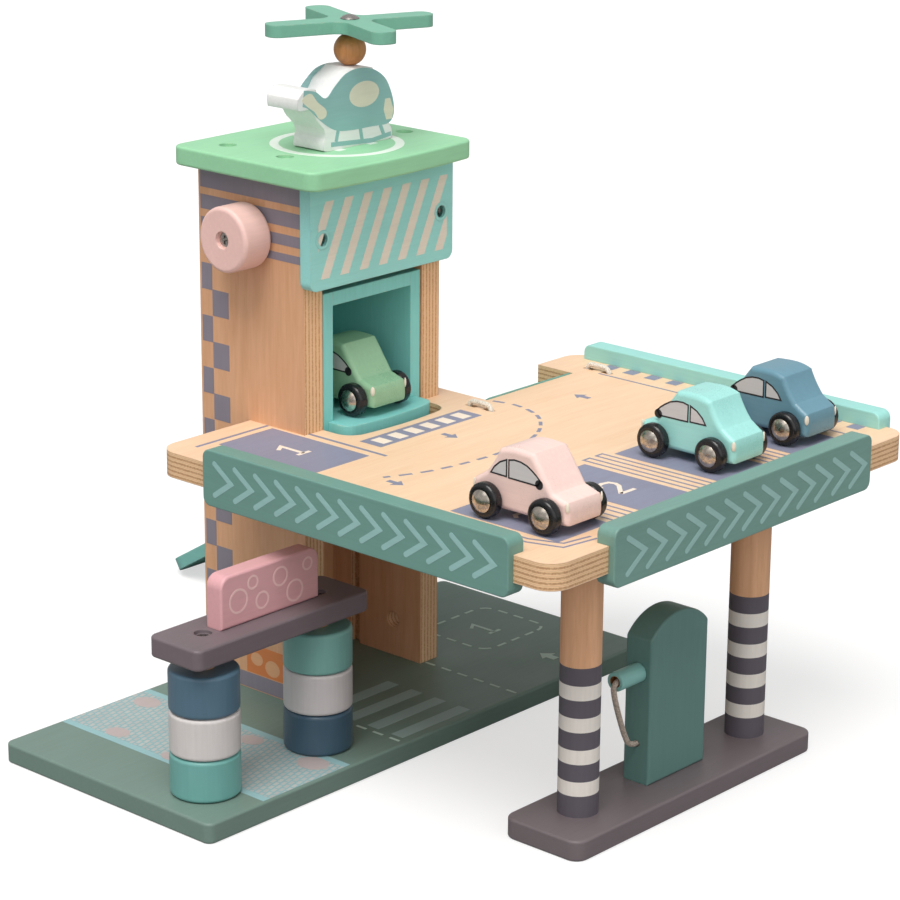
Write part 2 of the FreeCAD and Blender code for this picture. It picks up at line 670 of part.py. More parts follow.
def route_wire(points, name, closed_radius=None):
    """Return straight runs joined by tangent arcs through points, and their total length."""
    points = [Vector(*p) for p in points]
    here = points[0]
    edges = []
    radii = []
    for before, corner, after in zip(points, points[1:], points[2:]):
        first = (corner - before).Length
        second = (after - corner).Length
        into = (corner - before).normalize()
        out = (after - corner).normalize()
        turn = into.getAngle(out)
        radius = 0.45 * min(first, second) / math.tan(turn / 2)
        if closed_radius is not None:
            radius = closed_radius
        trim = radius * math.tan(turn / 2)
        begin = corner - into * trim
        end = corner + out * trim
        bisector = (out - into).normalize()
        middle = corner + bisector * (radius / math.cos(turn / 2) - radius)
        if (begin - here).Length > 1e-6:
            edges.append(Part.LineSegment(here, begin).toShape())
        edges.append(Part.Arc(begin, middle, end).toShape())
        radii.append(radius)
        here = end
    if (points[-1] - here).Length > 1e-6:
        edges.append(Part.LineSegment(here, points[-1]).toShape())
    print(name, "bend radii", [round(radius, 1) for radius in radii])
    return Part.Wire(edges)


def tube(wire, diameter, name):
    """Return a round tube along a wire, and print its volume beside section times length."""
    start = wire.Edges[0].valueAt(wire.Edges[0].FirstParameter)
    direction = wire.Edges[0].tangentAt(wire.Edges[0].FirstParameter)
    section = Part.Wire([Part.Circle(start, direction, diameter / 2).toShape()])
    solid = wire.makePipeShell([section], True, False)
    expected = math.pi * diameter ** 2 / 4 * wire.Length
    print(name, "volume", round(solid.Volume, 1), "section by length", round(expected, 1))
    return solid


def pump_hose():
    """The thin cord from the nozzle to the pump."""
    return tube(route_wire(HOSE_ROUTE, "pump_hose"), HOSE_DIAMETER, "pump_hose")


def cabin_floor():
    """The lift's floor, with a lip that bows out over the deck's opening."""
    left = SHAFT_MID_Y - lip_width() / 2
    right = SHAFT_MID_Y + lip_width() / 2
    rear = CABIN_REAR_X + CABIN_BACK_THICK
    front = CABIN_FRONT_X + LIP_REACH
    middle = (front + LIP_BOW, SHAFT_MID_Y)
    outline = ((rear, left), (front, left), (middle, (front, right)), (rear, right))
    floor = plan_plate(outline, FLOOR_BOTTOM_Z, CABIN_FLOOR_THICK)
    fronts = edges_along(floor, (0, 0, 1), lambda centre: centre.x > CABIN_FRONT_X)
    return floor.makeFillet(LIP_CORNER_RADIUS, fronts)


def cabin_wall(left_y, inner_sign):
    """Return a side wall of the lift, rebated for the floor."""
    low = (CABIN_REAR_X + CABIN_BACK_THICK, left_y, FLOOR_BOTTOM_Z)
    wall = box(low, (CABIN_FRONT_X, left_y + CABIN_WALL_THICK, CABIN_TOP_Z))
    inner_y = left_y + CABIN_WALL_THICK if inner_sign > 0 else left_y
    ys = sorted((inner_y, inner_y - inner_sign * CABIN_FLOOR_HOUSING))
    return wall.cut(box((0, ys[0], 0), (FAR, ys[1], FLOOR_TOP_Z)))


def cabin_wall_left():
    """The lift's left wall."""
    return cabin_wall(CABIN_LEFT_Y, 1)


def cabin_wall_right():
    """The lift's right wall."""
    return cabin_wall(CABIN_RIGHT_Y - CABIN_WALL_THICK, -1)


def cabin_back():
    """The lift's back wall."""
    high = (CABIN_REAR_X + CABIN_BACK_THICK, CABIN_RIGHT_Y, CABIN_TOP_Z)
    return box((CABIN_REAR_X, CABIN_LEFT_Y, FLOOR_BOTTOM_Z), high)


def cabin_top():
    """The lift's ceiling board between the walls."""
    low = (CABIN_REAR_X + CABIN_BACK_THICK, CABIN_LEFT_Y + CABIN_WALL_THICK, CABIN_CEILING_Z)
    return box(low, (CABIN_FRONT_X, CABIN_RIGHT_Y - CABIN_WALL_THICK, CABIN_TOP_Z))


def cord_x():
    """Return where the lift's cord hangs from the shaft's side."""
    return WINDER_X + SHAFT_DIAMETER / 2 + LIFT_CORD_DIAMETER / 2 + TURN_GAP


def cabin_guides():
    """The lift's two guide tongues and the wire eye that its cord is tied to."""
    middle = TOWER_REAR_X + GUIDE_GROOVE_X + GUIDE_GROOVE_WIDTH / 2
    xs = (middle - GUIDE_TONGUE_WIDTH / 2, middle + GUIDE_TONGUE_WIDTH / 2)
    reach = CABIN_SIDE_GAP + GUIDE_TONGUE_BITE
    tongues = [
        box((xs[0], CABIN_LEFT_Y - reach, FLOOR_BOTTOM_Z), (xs[1], CABIN_LEFT_Y, CABIN_TOP_Z)),
        box((xs[0], CABIN_RIGHT_Y, FLOOR_BOTTOM_Z), (xs[1], CABIN_RIGHT_Y + reach, CABIN_TOP_Z)),
    ]
    ring = Part.makeTorus(EYE_HEIGHT / 2 - EYE_WIRE / 2, EYE_WIRE / 2,
                          Vector(cord_x(), SHAFT_MID_Y, CABIN_TOP_Z + EYE_HEIGHT / 2), Vector(1, 0, 0))
    return Part.makeCompound(tongues + [ring])


def winder_knob():
    """The round knob that turns the lift's shaft."""
    start = (WINDER_X, TOWER_LEFT_Y - KNOB_GAP - KNOB_THICK, WINDER_Z)
    knob = cylinder(KNOB_DIAMETER / 2, KNOB_THICK, start, (0, 1, 0))
    rims = [edge for edge in knob.Edges if edge.Curve.TypeId == "Part::GeomCircle"]
    knob = knob.makeFillet(KNOB_ROUND, rims)
    inner_y = TOWER_LEFT_Y - KNOB_GAP
    socket = cylinder(SHAFT_DIAMETER / 2, SHAFT_IN_KNOB, (WINDER_X, inner_y, WINDER_Z), (0, -1, 0))
    return knob.cut(socket).cut(screw_bore(start, (0, -1, 0)))


def winder_shaft():
    """The dowel that the lift's cord winds onto."""
    start = (WINDER_X, TOWER_LEFT_Y - KNOB_GAP - SHAFT_IN_KNOB, WINDER_Z)
    length = SHAFT_RIGHT_Y + SHAFT_IN_FAR_PANEL - start[1]
    shaft = cylinder(SHAFT_DIAMETER / 2, length, start, (0, 1, 0))
    face = (WINDER_X, TOWER_LEFT_Y - KNOB_GAP - KNOB_THICK, WINDER_Z)
    return shaft.cut(screw_bore(face, (0, -1, 0)))


def knob_screw():
    """The screw in the middle of the knob."""
    y = TOWER_LEFT_Y - KNOB_GAP - KNOB_THICK + SCREW_SINK
    return screw((WINDER_X, y, WINDER_Z), (0, -1, 0))


def lift_cord():
    """The cord from the shaft down to the lift's eye."""
    bottom = CABIN_TOP_Z + EYE_HEIGHT
    return cylinder(LIFT_CORD_DIAMETER / 2, WINDER_Z - bottom, (cord_x(), SHAFT_MID_Y, bottom))


def ramp_angle():
    """Return the ramp's slope in radians, with its lower corner just above the floor."""
    drop = RAMP_TOP_Z - REST_GAP
    reach = math.hypot(RAMP_LENGTH, RAMP_THICK)
    return math.asin(drop / reach) - math.atan2(RAMP_THICK, RAMP_LENGTH)


def ramp_sides():
    """Return the ramp's two side places."""
    return NOTCH_LEFT_Y + RAMP_SIDE_GAP, NOTCH_RIGHT_Y - RAMP_SIDE_GAP


def ramp_board():
    """The long ramp board, from the deck's notch to the floor."""
    angle = ramp_angle()
    left, right = ramp_sides()
    foot = (RAMP_END_X - RAMP_LENGTH * math.cos(angle), RAMP_TOP_Z - RAMP_LENGTH * math.sin(angle))
    heel = (foot[0] + RAMP_THICK * math.sin(angle), foot[1] - RAMP_THICK * math.cos(angle))
    under = RAMP_TOP_Z - RAMP_THICK / math.cos(angle)
    outline = ((RAMP_END_X, RAMP_TOP_Z), foot, heel, (RAMP_END_X, under))
    board = side_plate(outline, left, right - left)
    normal = (math.sin(angle), 0, -math.cos(angle))
    ends = edges_along(board, normal, lambda centre: centre.x < foot[0] + RAMP_THICK)
    return board.makeFillet(RAMP_END_RADIUS, ends)


def ramp_batten():
    """The batten under the ramp's upper end, which holds the cross pin under the deck."""
    angle = ramp_angle()
    left, right = ramp_sides()
    top = DECK_BOTTOM_Z - BATTEN_GAP
    bottom = top - BATTEN_HEIGHT
    under = RAMP_TOP_Z - RAMP_THICK / math.cos(angle)
    rear = RAMP_END_X - BATTEN_REAR
    front = RAMP_PIN_X + BATTEN_FRONT
    outline = (
        (RAMP_END_X, under), (RAMP_END_X, top), (front, top), (front, bottom), (rear, bottom),
        (rear, under - BATTEN_REAR * math.tan(angle)),
    )
    block = side_plate(outline, left, right - left)
    bore = cylinder(RAMP_PIN_DIAMETER / 2, FAR, (RAMP_PIN_X, 0, RAMP_PIN_Z), (0, 1, 0))
    return block.cut(bore)


def ramp_pin():
    """The cross pin that hangs in the two cord loops."""
    left, right = ramp_sides()
    start = (RAMP_PIN_X, left - RAMP_PIN_REACH, RAMP_PIN_Z)
    return cylinder(RAMP_PIN_DIAMETER / 2, right - left + 2 * RAMP_PIN_REACH, start, (0, 1, 0))


def ramp_cord_loop(loop_y):
    """Return one cord loop over the deck's bridge and under the ramp's pin."""
    half = LOOP_SPACING / 2
    top = DECK_TOP_Z + LOOP_ABOVE_DECK
    bottom = RAMP_PIN_Z - RAMP_PIN_DIAMETER / 2 - LOOP_CORD_DIAMETER / 2 - LOOP_SLACK
    middle = (top + bottom) / 2
    corners = [(RAMP_PIN_X - half, middle), (RAMP_PIN_X - half, top), (RAMP_PIN_X + half, top),
               (RAMP_PIN_X + half, bottom), (RAMP_PIN_X - half, bottom), (RAMP_PIN_X - half, middle)]
    wire = route_wire([(x, loop_y, z) for x, z in corners], "ramp_cord_loop", LOOP_BEND_RADIUS)
    return tube(wire, LOOP_CORD_DIAMETER, "ramp_cord_loop")


def ramp_cord_loops():
    """The two cord loops that hold the ramp's pin under the deck."""
    return Part.makeCompound([ramp_cord_loop(loop_y) for loop_y in LOOP_YS])


def wash_dowels():
    """The two dowels that the car wash rings turn on."""
    height = BEAM_BOTTOM_Z - BASE_THICK
    dowels = []
    for place in beam_screw_places():
        dowel = cylinder(WASH_DOWEL_DIAMETER / 2, height, (place[0], place[1], BASE_THICK))
        dowels.append(dowel.cut(screw_bore(place, (0, 0, 1))))
    return Part.makeCompound(dowels)


def wash_ring(column, level):
    """Return one loose ring of the car wash."""
    bottom = BASE_THICK + REST_GAP + level * (RING_HEIGHT + REST_GAP)
    centre = (WASH_X, WASH_YS[column], bottom)
    ring = cylinder(RING_DIAMETER / 2, RING_HEIGHT, centre)
    rims = [edge for edge in ring.Edges if edge.Curve.TypeId == "Part::GeomCircle"]
    ring = ring.makeFillet(RING_ROUND, rims)
    return ring.cut(cylinder(WASH_DOWEL_DIAMETER / 2 + TURN_GAP, RING_HEIGHT, centre))


def wash_beam():
    """The board across the car wash."""
    low = (WASH_X - BEAM_DEPTH / 2, BEAM_LEFT_Y, BEAM_BOTTOM_Z)
    high = (WASH_X + BEAM_DEPTH / 2, BEAM_LEFT_Y + BEAM_WIDTH, BEAM_TOP_Z)
    board = rounded_board(low, high, BEAM_CORNER_RADIUS)
    for place in beam_screw_places():
        board = board.cut(screw_bore(place, (0, 0, 1)))
    return board


def wash_sign():
    """The upright sign on the car wash beam."""
    low = (WASH_X - SIGN_THICK / 2, SIGN_LEFT_Y, BEAM_TOP_Z)
    high = (WASH_X + SIGN_THICK / 2, SIGN_LEFT_Y + SIGN_WIDTH, BEAM_TOP_Z + SIGN_HEIGHT)
    board = box(low, high)
    tops = edges_along(board, (1, 0, 0), lambda centre: centre.z > BEAM_TOP_Z + 1)
    board = board.makeFillet(SIGN_CORNER_RADIUS, tops)
    return soften(board, EDGE_ROUND, (1, 0, 0))


def heli_side():
    """Return the helicopter's side face in the YZ plane, with its tail at y 0, standing on z 0."""
    nose = HELI_LENGTH
    top = HELI_HEIGHT
    hub = HELI_HUB_FROM_TAIL
    belly = HELI_SKID_HEIGHT
    tail_top = HELI_TAIL_HEIGHT
    stations = (
        (24.0, 0.0, 0), (nose - 6.0, 0.0, 0), (nose - 1.8, belly - 4.6, 92), (nose - 4.6, belly + 1.3, 100),
        (nose, belly + 9.0, 90), (nose - 4.8, belly + 16.5, 112), (hub + 10.5, top - 5.5, 140),
        (hub - 0.5, top, 180), (hub - 13.5, top - 3.5, 212), (hub - 21.5, top - 11.0, 235),
        (23.0, tail_top - 9.4, 178), (16.6, tail_top - 5.6, 118), (9.5, tail_top, 182),
        (2.8, tail_top - 2.4, 225), (0.0, tail_top - 7.6, 270), (4.4, tail_top - 11.6, 0),
        (8.6, tail_top - 11.4, 356), (12.4, tail_top - 14.6, 300), (18.8, belly + 6.2, 312),
        (21.8, belly + 1.2, 282), (20.6, belly - 4.4, 262), (24.0, 0.0, 0),
    )
    return Part.Face(smooth_outline(stations, lambda u, v: Vector(0, u, v)))


def heli_body():
    """The helicopter's thick body board, bored for its rotor pin."""
    face = heli_side()
    face.translate(Vector(HELI_X - HELI_THICK / 2, HELI_TAIL_Y, ROOF_TOP_Z))
    return face.extrude(Vector(HELI_THICK, 0, 0)).cut(heli_bore())


def hub_place():
    """Return the helicopter's hub on the body's top."""
    return HELI_X, HELI_TAIL_Y + HELI_HUB_FROM_TAIL


def rotor_bottom():
    """Return the height of the rotor's underside."""
    return ROOF_TOP_Z + HELI_HEIGHT - HELI_BALL_BITE + HELI_BALL_DIAMETER - HELI_BALL_BITE + WASHER_THICK


def heli_bore():
    """Return the hole for the rotor's pin, through the ball."""
    x, y = hub_place()
    return cylinder(PIN_DIAMETER / 2, PIN_LENGTH, (x, y, rotor_bottom() - PIN_LENGTH))


def heli_ball():
    """The ball under the rotor, flat where it meets the body and the washer."""
    x, y = hub_place()
    bottom = ROOF_TOP_Z + HELI_HEIGHT
    height = HELI_BALL_DIAMETER - 2 * HELI_BALL_BITE
    centre = Vector(x, y, bottom - HELI_BALL_BITE + HELI_BALL_DIAMETER / 2)
    ball = Part.makeSphere(HELI_BALL_DIAMETER / 2, centre)
    slab = box((x - FAR, y - FAR, bottom), (x + FAR, y + FAR, bottom + height))
    return ball.common(slab).cut(heli_bore())


def heli_washer():
    """The washer between the ball and the rotor."""
    x, y = hub_place()
    washer = cylinder(WASHER_DIAMETER / 2, WASHER_THICK, (x, y, rotor_bottom() - WASHER_THICK))
    return washer.cut(cylinder(PIN_DIAMETER / 2, WASHER_THICK, (x, y, rotor_bottom() - WASHER_THICK)))


def heli_rotor():
    """The four-bladed rotor, cut from one board."""
    x, y = hub_place()
    bottom = rotor_bottom() + ROTOR_GAP
    half = ROTOR_BLADE_WIDTH / 2
    bars = []
    for turn in (0, 90):
        bar = box((-ROTOR_REACH, -half, 0), (ROTOR_REACH, half, ROTOR_THICK))
        bar = bar.makeFillet(half * 0.85, edges_along(bar, (0, 0, 1)))
        bar.rotate(Vector(0, 0, 0), Vector(0, 0, 1), turn)
        bars.append(bar)
    rotor = bars[0].fuse(bars[1]).removeSplitter()

    def inner_corner(centre):
        return math.hypot(centre.x, centre.y) < ROTOR_BLADE_WIDTH

    rotor = rotor.makeFillet(half, edges_along(rotor, (0, 0, 1), inner_corner))
    rotor = rotor.cut(cylinder(PIN_DIAMETER / 2 + TURN_GAP, ROTOR_THICK, (0, 0, 0)))
    rotor.rotate(Vector(0, 0, 0), Vector(0, 0, 1), ROTOR_TURN)
    rotor.translate(Vector(x, y, bottom))
    return rotor


def domed_pin(head_diameter, rise, pin_diameter, length):
    """Return a pin with a domed head, whose flat underside is at z 0 and whose stem goes down."""
    ball_radius = ((head_diameter / 2) ** 2 + rise ** 2) / (2 * rise)
    ball = Part.makeSphere(ball_radius, Vector(0, 0, rise - ball_radius))
    head = ball.common(box((-FAR, -FAR, 0), (FAR, FAR, FAR)))
    return head.fuse(cylinder(pin_diameter / 2, length, (0, 0, -length))).removeSplitter()


def heli_pin():
    """The domed pin that the rotor turns on."""
    x, y = hub_place()
    top = rotor_bottom() + ROTOR_THICK + 2 * ROTOR_GAP
    pin = domed_pin(PIN_HEAD_DIAMETER, PIN_HEAD_RISE, PIN_DIAMETER, top - rotor_bottom() + PIN_LENGTH)
    pin.translate(Vector(x, y, top))
    return pin


def car_side():
    """Return a car's side face in the XZ plane, from its tail at x 0 to its nose, standing on z 0."""
    low = CAR_GROUND
    top = CAR_GROUND + CAR_HEIGHT
    nose = CAR_LENGTH
    hood = nose - CAR_HOOD_LENGTH
    corner = CAR_BUMPER_RADIUS
    fender = low + CAR_FENDER_RISE
    stations = (
        (nose, low + corner, 90), (nose, low + CAR_WAIST, 90), (hood, fender - 3.0, 160),
        (hood - 4.5, fender, 122), (hood - 9.5, top - 10.0, 124), (CAR_CROWN_X, top, 180),
        (CAR_TRUNK_LENGTH + 2.0, fender + 3.0, 232), (CAR_TRUNK_LENGTH - 2.0, fender - 0.5, 215),
        (0.0, low + CAR_WAIST + 1.0, 270), (0.0, low + corner, 270), (corner, low, 0),
        (nose - corner, low, 0), (nose, low + corner, 90),
    )
    return Part.Face(smooth_outline(stations, lambda u, v: Vector(u, 0, v)))


def wheel_places():
    """Return how far the two axles are from the car's tail."""
    return REAR_WHEEL_FROM_TAIL, REAR_WHEEL_FROM_TAIL + WHEELBASE


def car_body():
    """Return a car's body along +X, centred on y 0, with the holes for its four pins."""
    half = CAR_BODY_WIDTH / 2
    face = car_side()
    face.translate(Vector(0, -half, 0))
    body = face.extrude(Vector(0, CAR_BODY_WIDTH, 0))
    body = soften(body, CAR_SIDE_ROUND, (0, 1, 0))
    for x in wheel_places():
        for side in (-1, 1):
            start = (x, side * (half + 1), WHEEL_RADIUS)
            body = body.cut(cylinder(AXLE_PIN_DIAMETER / 2, AXLE_PIN_DEPTH + 1, start, (0, -side, 0)))
    return body


def tyre_pair(x):
    """Return an axle's two tyres."""
    inner = CAR_BODY_WIDTH / 2 + TYRE_SIDE_GAP
    tyres = []
    for side in (-1, 1):
        start = (x, side * inner, WHEEL_RADIUS)
        tyre = cylinder(WHEEL_RADIUS, TYRE_WIDTH, start, (0, side, 0))
        rims = [edge for edge in tyre.Edges if edge.Curve.TypeId == "Part::GeomCircle"]
        tyre = tyre.makeFillet(TYRE_ROUND, rims)
        bore = cylinder(AXLE_PIN_DIAMETER / 2 + TURN_GAP, TYRE_WIDTH, start, (0, side, 0))
        tyres.append(tyre.cut(bore))
    return Part.makeCompound(tyres)


def wheel_pins():
    """Return a car's four domed wheel pins."""
    outer = CAR_BODY_WIDTH / 2 + TYRE_SIDE_GAP + TYRE_WIDTH + REST_GAP
    length = outer - CAR_BODY_WIDTH / 2 + AXLE_PIN_DEPTH
    pins = []
    for x in wheel_places():
        for side in (-1, 1):
            pin = domed_pin(CAP_DIAMETER, CAP_RISE, AXLE_PIN_DIAMETER, length)
            pins.append(turned(pin, (x, side * outer, WHEEL_RADIUS), (0, side, 0)))
    return Part.makeCompound(pins)


def car_nodes(name, tail_x, middle_y, heading, ground_z):
    """Return the four nodes of a car, placed by its tail, its middle and its heading."""
    rear_x, front_x = wheel_places()
    nodes = {
        name + "_body": car_body(),
        name + "_front_tyres": tyre_pair(front_x),
        name + "_rear_tyres": tyre_pair(rear_x),
        name + "_wheel_pins": wheel_pins(),
    }
    for shape in nodes.values():
        if heading < 0:
            shape.rotate(Vector(0, 0, 0), Vector(0, 0, 1), 180)
        shape.translate(Vector(tail_x, middle_y, ground_z + REST_GAP))
    return nodes


def build():
    """Return every node by its name."""
    nodes = {
        "base_board": base_board(),
        "tower_panel_left": tower_panel_left(),
        "tower_panel_right": tower_panel_right(),
        "tower_back_panel": tower_back_panel(),
        "tower_roof": tower_roof(),
        "header_panel": header_panel(),
        "countersunk_screws": countersunk_screws(),
        "deck": deck(),
        "rail_left": rail_left(),
        "rail_front": rail_front(),
        "rail_rear": rail_rear(),
        "post_foot": post_foot(),
        "deck_posts": deck_posts(),
        "pump_body": pump_body(),
        "pump_nozzle": pump_nozzle(),
        "pump_hose": pump_hose(),
        "cabin_floor": cabin_floor(),
        "cabin_wall_left": cabin_wall_left(),
        "cabin_wall_right": cabin_wall_right(),
        "cabin_back": cabin_back(),
        "cabin_top": cabin_top(),
        "cabin_guides": cabin_guides(),
        "winder_knob": winder_knob(),
        "winder_shaft": winder_shaft(),
        "knob_screw": knob_screw(),
        "lift_cord": lift_cord(),
        "ramp_board": ramp_board(),
        "ramp_batten": ramp_batten(),
        "ramp_pin": ramp_pin(),
        "ramp_cord_loops": ramp_cord_loops(),
        "wash_dowels": wash_dowels(),
        "wash_beam": wash_beam(),
        "wash_sign": wash_sign(),
        "heli_body": heli_body(),
        "heli_ball": heli_ball(),
        "heli_washer": heli_washer(),
        "heli_rotor": heli_rotor(),
        "heli_pin": heli_pin(),
    }
    for column, column_name in enumerate(("left", "right")):
        for level in range(RING_COUNT):
            nodes["wash_ring_" + column_name + "_" + str(level + 1)] = wash_ring(column, level)
    lift_tail = CABIN_REAR_X + CABIN_BACK_THICK + LIFT_CAR_TAIL_FROM_BACK
    nodes.update(car_nodes("car_pink", PINK_CAR_TAIL_X, PINK_CAR_Y, 1, DECK_TOP_Z))
    nodes.update(car_nodes("car_aqua", REVERSED_CAR_TAIL_X, AQUA_CAR_Y, -1, DECK_TOP_Z))
    nodes.update(car_nodes("car_blue", REVERSED_CAR_TAIL_X, BLUE_CAR_Y, -1, DECK_TOP_Z))
    nodes.update(car_nodes("car_green", lift_tail, SHAFT_MID_Y, 1, FLOOR_TOP_Z))
    return nodes


def export(nodes):
    """Move the origin to the bottom centre and write one file for each node."""
    os.makedirs("parts", exist_ok=True)
    bounds = FreeCAD.BoundBox()
    for shape in nodes.values():
        bounds.add(shape.optimalBoundingBox(False))
    shift = Vector(-(bounds.XMin + bounds.XMax) / 2, -(bounds.YMin + bounds.YMax) / 2, -bounds.ZMin)
    for name, shape in nodes.items():
        shape.translate(shift)
        shape.exportStep("parts/" + name + ".step")
    size = (bounds.XLength, bounds.YLength, bounds.ZLength)
    print("nodes", len(nodes), "size", [round(v, 1) for v in size])
    print("shift", [round(v, 3) for v in shift])


export(build())
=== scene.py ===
"""Looks of a wooden toy parking garage: plywood, paint, prints, steel pins and the pump's slack cord."""
import logging
import math
from dataclasses import dataclass, field
from enum import Enum
from typing import Iterable, Optional, Sequence

import bmesh
import bpy
from mathutils import Matrix, Vector


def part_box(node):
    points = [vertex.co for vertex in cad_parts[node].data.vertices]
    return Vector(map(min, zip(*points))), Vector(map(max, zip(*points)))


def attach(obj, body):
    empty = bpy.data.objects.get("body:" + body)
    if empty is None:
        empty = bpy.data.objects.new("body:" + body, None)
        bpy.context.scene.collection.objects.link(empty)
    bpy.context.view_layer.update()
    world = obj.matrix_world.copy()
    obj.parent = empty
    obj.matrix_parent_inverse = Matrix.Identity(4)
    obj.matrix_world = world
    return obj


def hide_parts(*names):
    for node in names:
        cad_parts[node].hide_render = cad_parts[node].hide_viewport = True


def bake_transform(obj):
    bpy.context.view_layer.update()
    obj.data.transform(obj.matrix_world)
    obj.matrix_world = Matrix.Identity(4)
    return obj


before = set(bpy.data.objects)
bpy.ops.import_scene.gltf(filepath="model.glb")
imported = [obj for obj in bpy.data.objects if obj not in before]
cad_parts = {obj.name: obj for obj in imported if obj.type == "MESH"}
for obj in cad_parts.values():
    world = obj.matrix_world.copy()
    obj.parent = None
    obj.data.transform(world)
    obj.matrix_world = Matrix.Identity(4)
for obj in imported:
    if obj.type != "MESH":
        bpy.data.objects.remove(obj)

log = logging.getLogger("garage")
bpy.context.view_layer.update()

# Workshop millimetres, measured from the base board's rear left corner, to the frame's metres
SHIFT = Vector((-0.087941, -0.199, 0.0))
Point = tuple[float, float]


def at(x: float, y: float, z: float) -> Vector:
    """Turn a place in workshop millimetres into the frame's metres."""
    return Vector((x, y, z)) * 0.001 + SHIFT


def shade(code: str) -> tuple[float, float, float, float]:
    """Turn a six-digit screen colour into linear light.

    Args:
        code: The colour as hexadecimal digits, with or without a leading hash.

    Returns:
        Red, green, blue and an alpha of one.
    """
    digits = code.lstrip("#")
    parts = [int(digits[i:i + 2], 16) / 255 for i in (0, 2, 4)]
    linear = [c / 12.92 if c <= 0.04045 else ((c + 0.055) / 1.055) ** 2.4 for c in parts]
    return (linear[0], linear[1], linear[2], 1.0)


class Grain(Enum):
    """The way that the wood's fibres run."""

    ALONG_X = (30.0, 420.0, 420.0)
    ALONG_Y = (420.0, 30.0, 420.0)
    ALONG_Z = (420.0, 420.0, 30.0)


class Side(Enum):
    """The flat side of a board that a print lies on: across, up and outward directions."""

    TOP = ((1, 0, 0), (0, 1, 0), (0, 0, 1))
    LEFT = ((1, 0, 0), (0, 0, 1), (0, -1, 0))
    RIGHT = ((1, 0, 0), (0, 0, 1), (0, 1, 0))
    FRONT = ((0, 1, 0), (0, 0, 1), (1, 0, 0))
    REAR = ((0, 1, 0), (0, 0, 1), (-1, 0, 0))


class Recipe:
    """A node tree with short calls that add and join its nodes."""

    def __init__(self, tree: bpy.types.NodeTree) -> None:
        """Keep the tree that the calls work on."""
        self.tree = tree

    def add(self, kind: str, **settings: object) -> bpy.types.Node:
        """Add a node and set its properties.

        Args:
            kind: The node's type, without the ShaderNode in front.
            settings: Properties by name.

        Returns:
            The new node.
        """
        node = self.tree.nodes.new("ShaderNode" + kind)
        for name, value in settings.items():
            setattr(node, name, value)
        return node

    def place(self) -> bpy.types.NodeSocket:
        """Return the socket of the piece's own coordinates."""
        return self.add("TexCoord").outputs["Object"]

    def join(self, source: bpy.types.NodeSocket, node: bpy.types.Node, socket: object) -> None:
        """Link an output to a node's input, which is given by name or number."""
        self.tree.links.new(source, node.inputs[socket])

    def feed(self, node: bpy.types.Node, socket: object, value: object) -> None:
        """Put a link or a plain value on a node's input."""
        if isinstance(value, bpy.types.NodeSocket):
            self.join(value, node, socket)
        else:
            node.inputs[socket].default_value = value

    def calc(self, operation: str, first: object, second: object = 0.0, clamp: bool = False) -> bpy.types.NodeSocket:
        """Add a Math node and return its result.

        Args:
            operation: The Math node's operation.
            first: A socket or a number.
            second: A socket or a number.
            clamp: Whether the result is kept between zero and one.

        Returns:
            The result's socket.
        """
        node = self.add("Math", operation=operation, use_clamp=clamp)
        self.feed(node, 0, first)
        self.feed(node, 1, second)
        return node.outputs[0]

    def blend(self, amount: object, first: object, second: object, way: str = "MIX") -> bpy.types.NodeSocket:
        """Mix two colours and return the result's socket."""
        node = self.add("Mix", data_type="RGBA", blend_type=way)
        self.feed(node, 0, amount)
        self.feed(node, 6, first)
        self.feed(node, 7, second)
        return node.outputs[2]

    def noise(self, vector: bpy.types.NodeSocket, scale: float, detail: float = 4.0,
              rough: float = 0.55, wobble: float = 0.0) -> bpy.types.NodeSocket:
        """Add a noise texture and return its value's socket."""
        node = self.add("TexNoise")
        self.join(vector, node, "Vector")
        for name, value in (("Scale", scale), ("Detail", detail), ("Roughness", rough), ("Distortion", wobble)):
            node.inputs[name].default_value = value
        return node.outputs[0]

    def spread(self, value: bpy.types.NodeSocket, low: float, high: float,
               to_low: float = 0.0, to_high: float = 1.0) -> bpy.types.NodeSocket:
        """Stretch a value from one range to another, kept within it."""
        node = self.add("MapRange", clamp=True)
        self.join(value, node, 0)
        for socket, number in zip((1, 2, 3, 4), (low, high, to_low, to_high)):
            node.inputs[socket].default_value = number
        return node.outputs[0]


